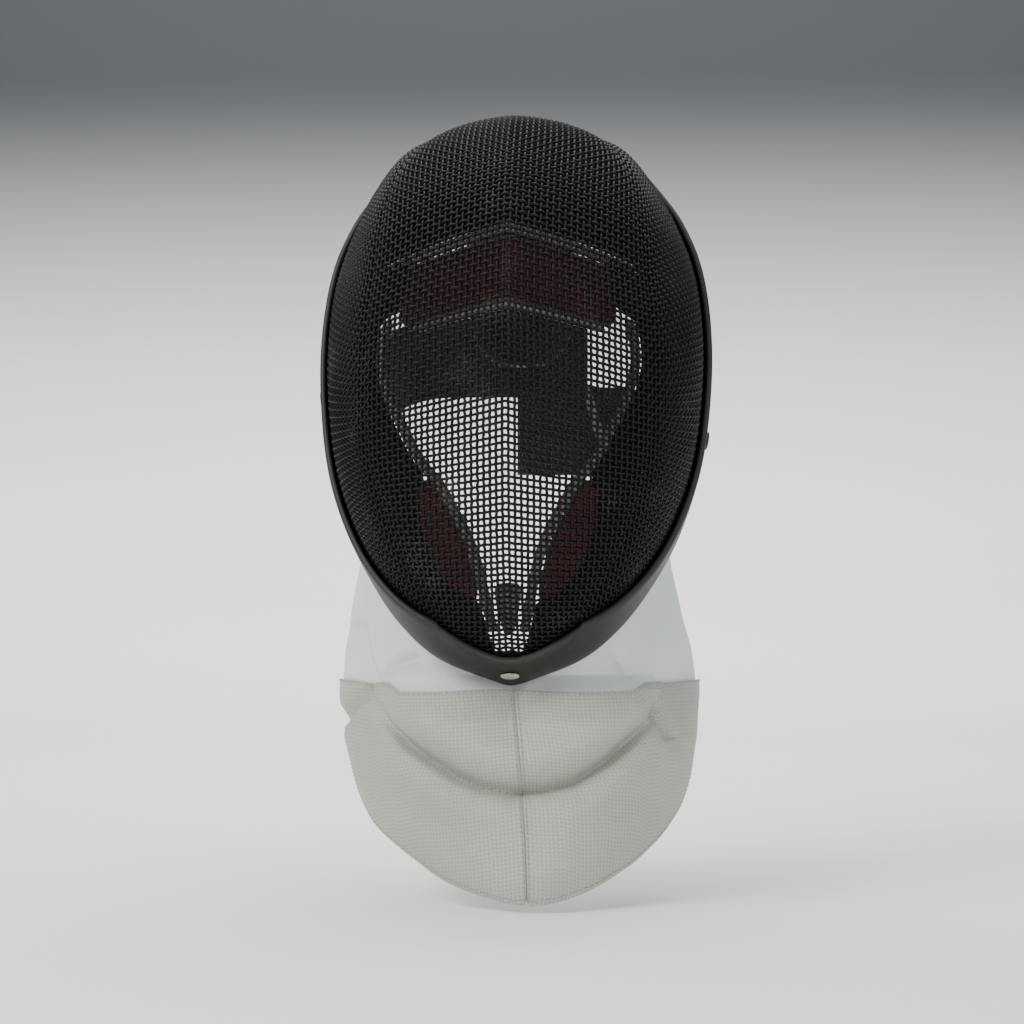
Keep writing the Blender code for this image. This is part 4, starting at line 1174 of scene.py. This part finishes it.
def build_straps():
    """Two halves of elastic from inside the trim to behind the tongue, where they lap."""
    _, _, edge, into, normal = RIM
    for name, (side, height, down, fall, end, outside) in STRAPS.items():
        keep = (edge[:, 0] * side > 0) & (edge[:, 2] < height - down)
        order = np.argsort(-edge[keep][:, 2])
        levels = -down + np.linspace(0.5, -0.5, STRAP_ACROSS) * height
        inside = MESH_WALL / 2 + TRIM_GAP + TRIM_WALL + CLEARANCE + STRAP_WALL / 2
        fixed = (edge + into * TRIM_INNER_LEG * STRAP_SEAT_SHARE - normal * inside)[keep][order]
        away = -into[keep][order]
        start, leave = (
            np.stack([np.interp(fall - levels, -fixed[:, 2], rows[:, k]) for k in range(3)], -1)
            for rows in (fixed, away)
        )
        leave[:, 2] = 0
        behind = TONGUE_BEHIND_SEAT + SPRING_WALL / 2 + STRAP_WALL / 2 + PAD_GAP + outside
        beside = side * (TONGUE_WIDTH / 2 + STRAP_PAST_TONGUE)
        finish = np.stack(np.broadcast_arrays(beside, behind, levels), -1)
        q = np.linspace(0, 1, STRAP_STATIONS)[:, None, None]
        arrive = np.array([-side * STRAP_ARRIVES, 0, 0])
        points = curve_between(q, start, unit(leave) * STRAP_LEAVES, finish, arrive)
        q = np.linspace(0, 1, STRAP_LAP_STATIONS)[1:, None, None]
        lap = finish + q * np.array([end - beside, 0, 0])
        points = np.concatenate([points, lap])
        along = np.gradient(points, axis=0)
        out = unit(np.cross(along, np.array([0, 0, 1.0])) * -side)
        band = (PALE_BAND_AT, PALE_BAND_WIDTH) if side > 0 else None
        look = elastic_finish("elastic_" + name, band)
        half_wall = out * STRAP_WALL / 2
        made = cloth_slab("webbing_" + name, points + half_wall, points - half_wall, look)
        seat(made, "black_elastic", name)


def soften(node, look, levels=2):
    """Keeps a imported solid, rounds it finely and gives it its finish."""
    made = NODES[node]
    weld = made.modifiers.new("weld", "WELD")
    weld.merge_threshold = 1e-5
    finer = made.modifiers.new("finer", "SUBSURF")
    finer.levels = finer.render_levels = levels
    for slot in made.material_slots:
        slot.material = look


def build_hard_pieces():
    soften("chin_rivet", button_finish("rivet_pale", (0.20, 0.195, 0.15), (0.36, 0.35, 0.28), 0.36))
    black = button_finish("anchor_black", (0.016, 0.016, 0.016), (0.045, 0.045, 0.045), 0.34)
    soften("strap_anchor_left", black)
    soften("strap_anchor_right", black)
    soften("tongue_spring", steel_finish(), 1)


def build_studio():
    """Pale floor and wall, the wall painted darker towards its top as shade, soft light and the camera."""
    low = CAD_BOX[0].z - FLOOR_BELOW
    floor = Finish("studio_floor", (0.80, 0.79, 0.77), 0.9)
    place = floor.object_place()
    cloud = floor.noise(place, 2.0, 2.0)
    height = floor.node("SeparateXYZ", {}, {0: place}, output=2)
    pale = floor.blend(cloud, (0.86, 0.856, 0.838), (0.90, 0.894, 0.874))
    # Painted shade: the wall's colour darkens with height.
    floor.set("Base Color", floor.blend(height.between(*WALL_PAINTED_SHADE), pale, (0.040, 0.044, 0.049)))
    points = [(x, y, low + up) for y, up in SWEEP for x in (-SWEEP_HALF_WIDTH, SWEEP_HALF_WIDTH)]
    index = np.arange(len(points)).reshape(-1, 2)
    faces = np.stack([index[:-1, 0], index[:-1, 1], index[1:, 1], index[1:, 0]], -1)
    stage = mesh_of("studio_sweep", points, [faces], floor.material)
    world = bpy.data.worlds.new("studio")
    SCENE.world = world
    world.use_nodes = True
    sky = world.node_tree.nodes["Background"].inputs
    sky["Color"].default_value = (0.80, 0.86, 0.92, 1)
    sky["Strength"].default_value = 0.42
    for name, place, aim, size, power, colour in (
        ("key", (-1.3, -0.9, 1.05), (0, 0, -0.20), 1.0, 36.0, (1.0, 0.99, 0.97)),
        ("fill", (1.5, -1.3, 0.2), (0, 0, -0.20), 1.4, 12.0, (0.95, 0.97, 1.0)),
        ("top", (0.0, 0.1, 1.4), (0, 0, -0.20), 1.2, 14.0, (1.0, 1.0, 1.0)),
        ("wall", (0.0, 0.75, 0.9), (0, 1.25, -0.1), 1.6, 27.0, (1.0, 1.0, 0.99)),
        ("low", (0.0, -0.80, -0.385), (0, 0, -0.33), 0.5, 3.4, (1.0, 0.94, 0.86)),
    ):
        light = bpy.data.lights.new(name, "AREA")
        light.size = size
        light.energy = power
        light.color = colour
        lamp = bpy.data.objects.new(name, light)
        lamp.location = place
        lamp.rotation_euler = (Vector(aim) - lamp.location).to_track_quat("-Z", "Y").to_euler()
        SCENE.collection.objects.link(lamp)
    eye = bpy.data.cameras.new("photo_view")
    eye.lens = VIEW_LENS
    eye.sensor_width = 36
    camera = bpy.data.objects.new("photo_view", eye)
    azimuth = math.radians(VIEW_TURN)
    centre = Vector((VIEW_SIDE, 0, VIEW_HEIGHT))
    camera.location = centre + VIEW_DISTANCE * Vector((math.sin(azimuth), -math.cos(azimuth), 0))
    camera.rotation_euler = (centre - camera.location).to_track_quat("-Z", "Y").to_euler()
    SCENE.collection.objects.link(camera)
    SCENE.camera = camera


build_studio()
build_wires()
build_trim()
build_bib()
build_linings()
build_edgings()
build_pads()
build_straps()
build_hard_pieces()
bpy.context.view_layer.update()
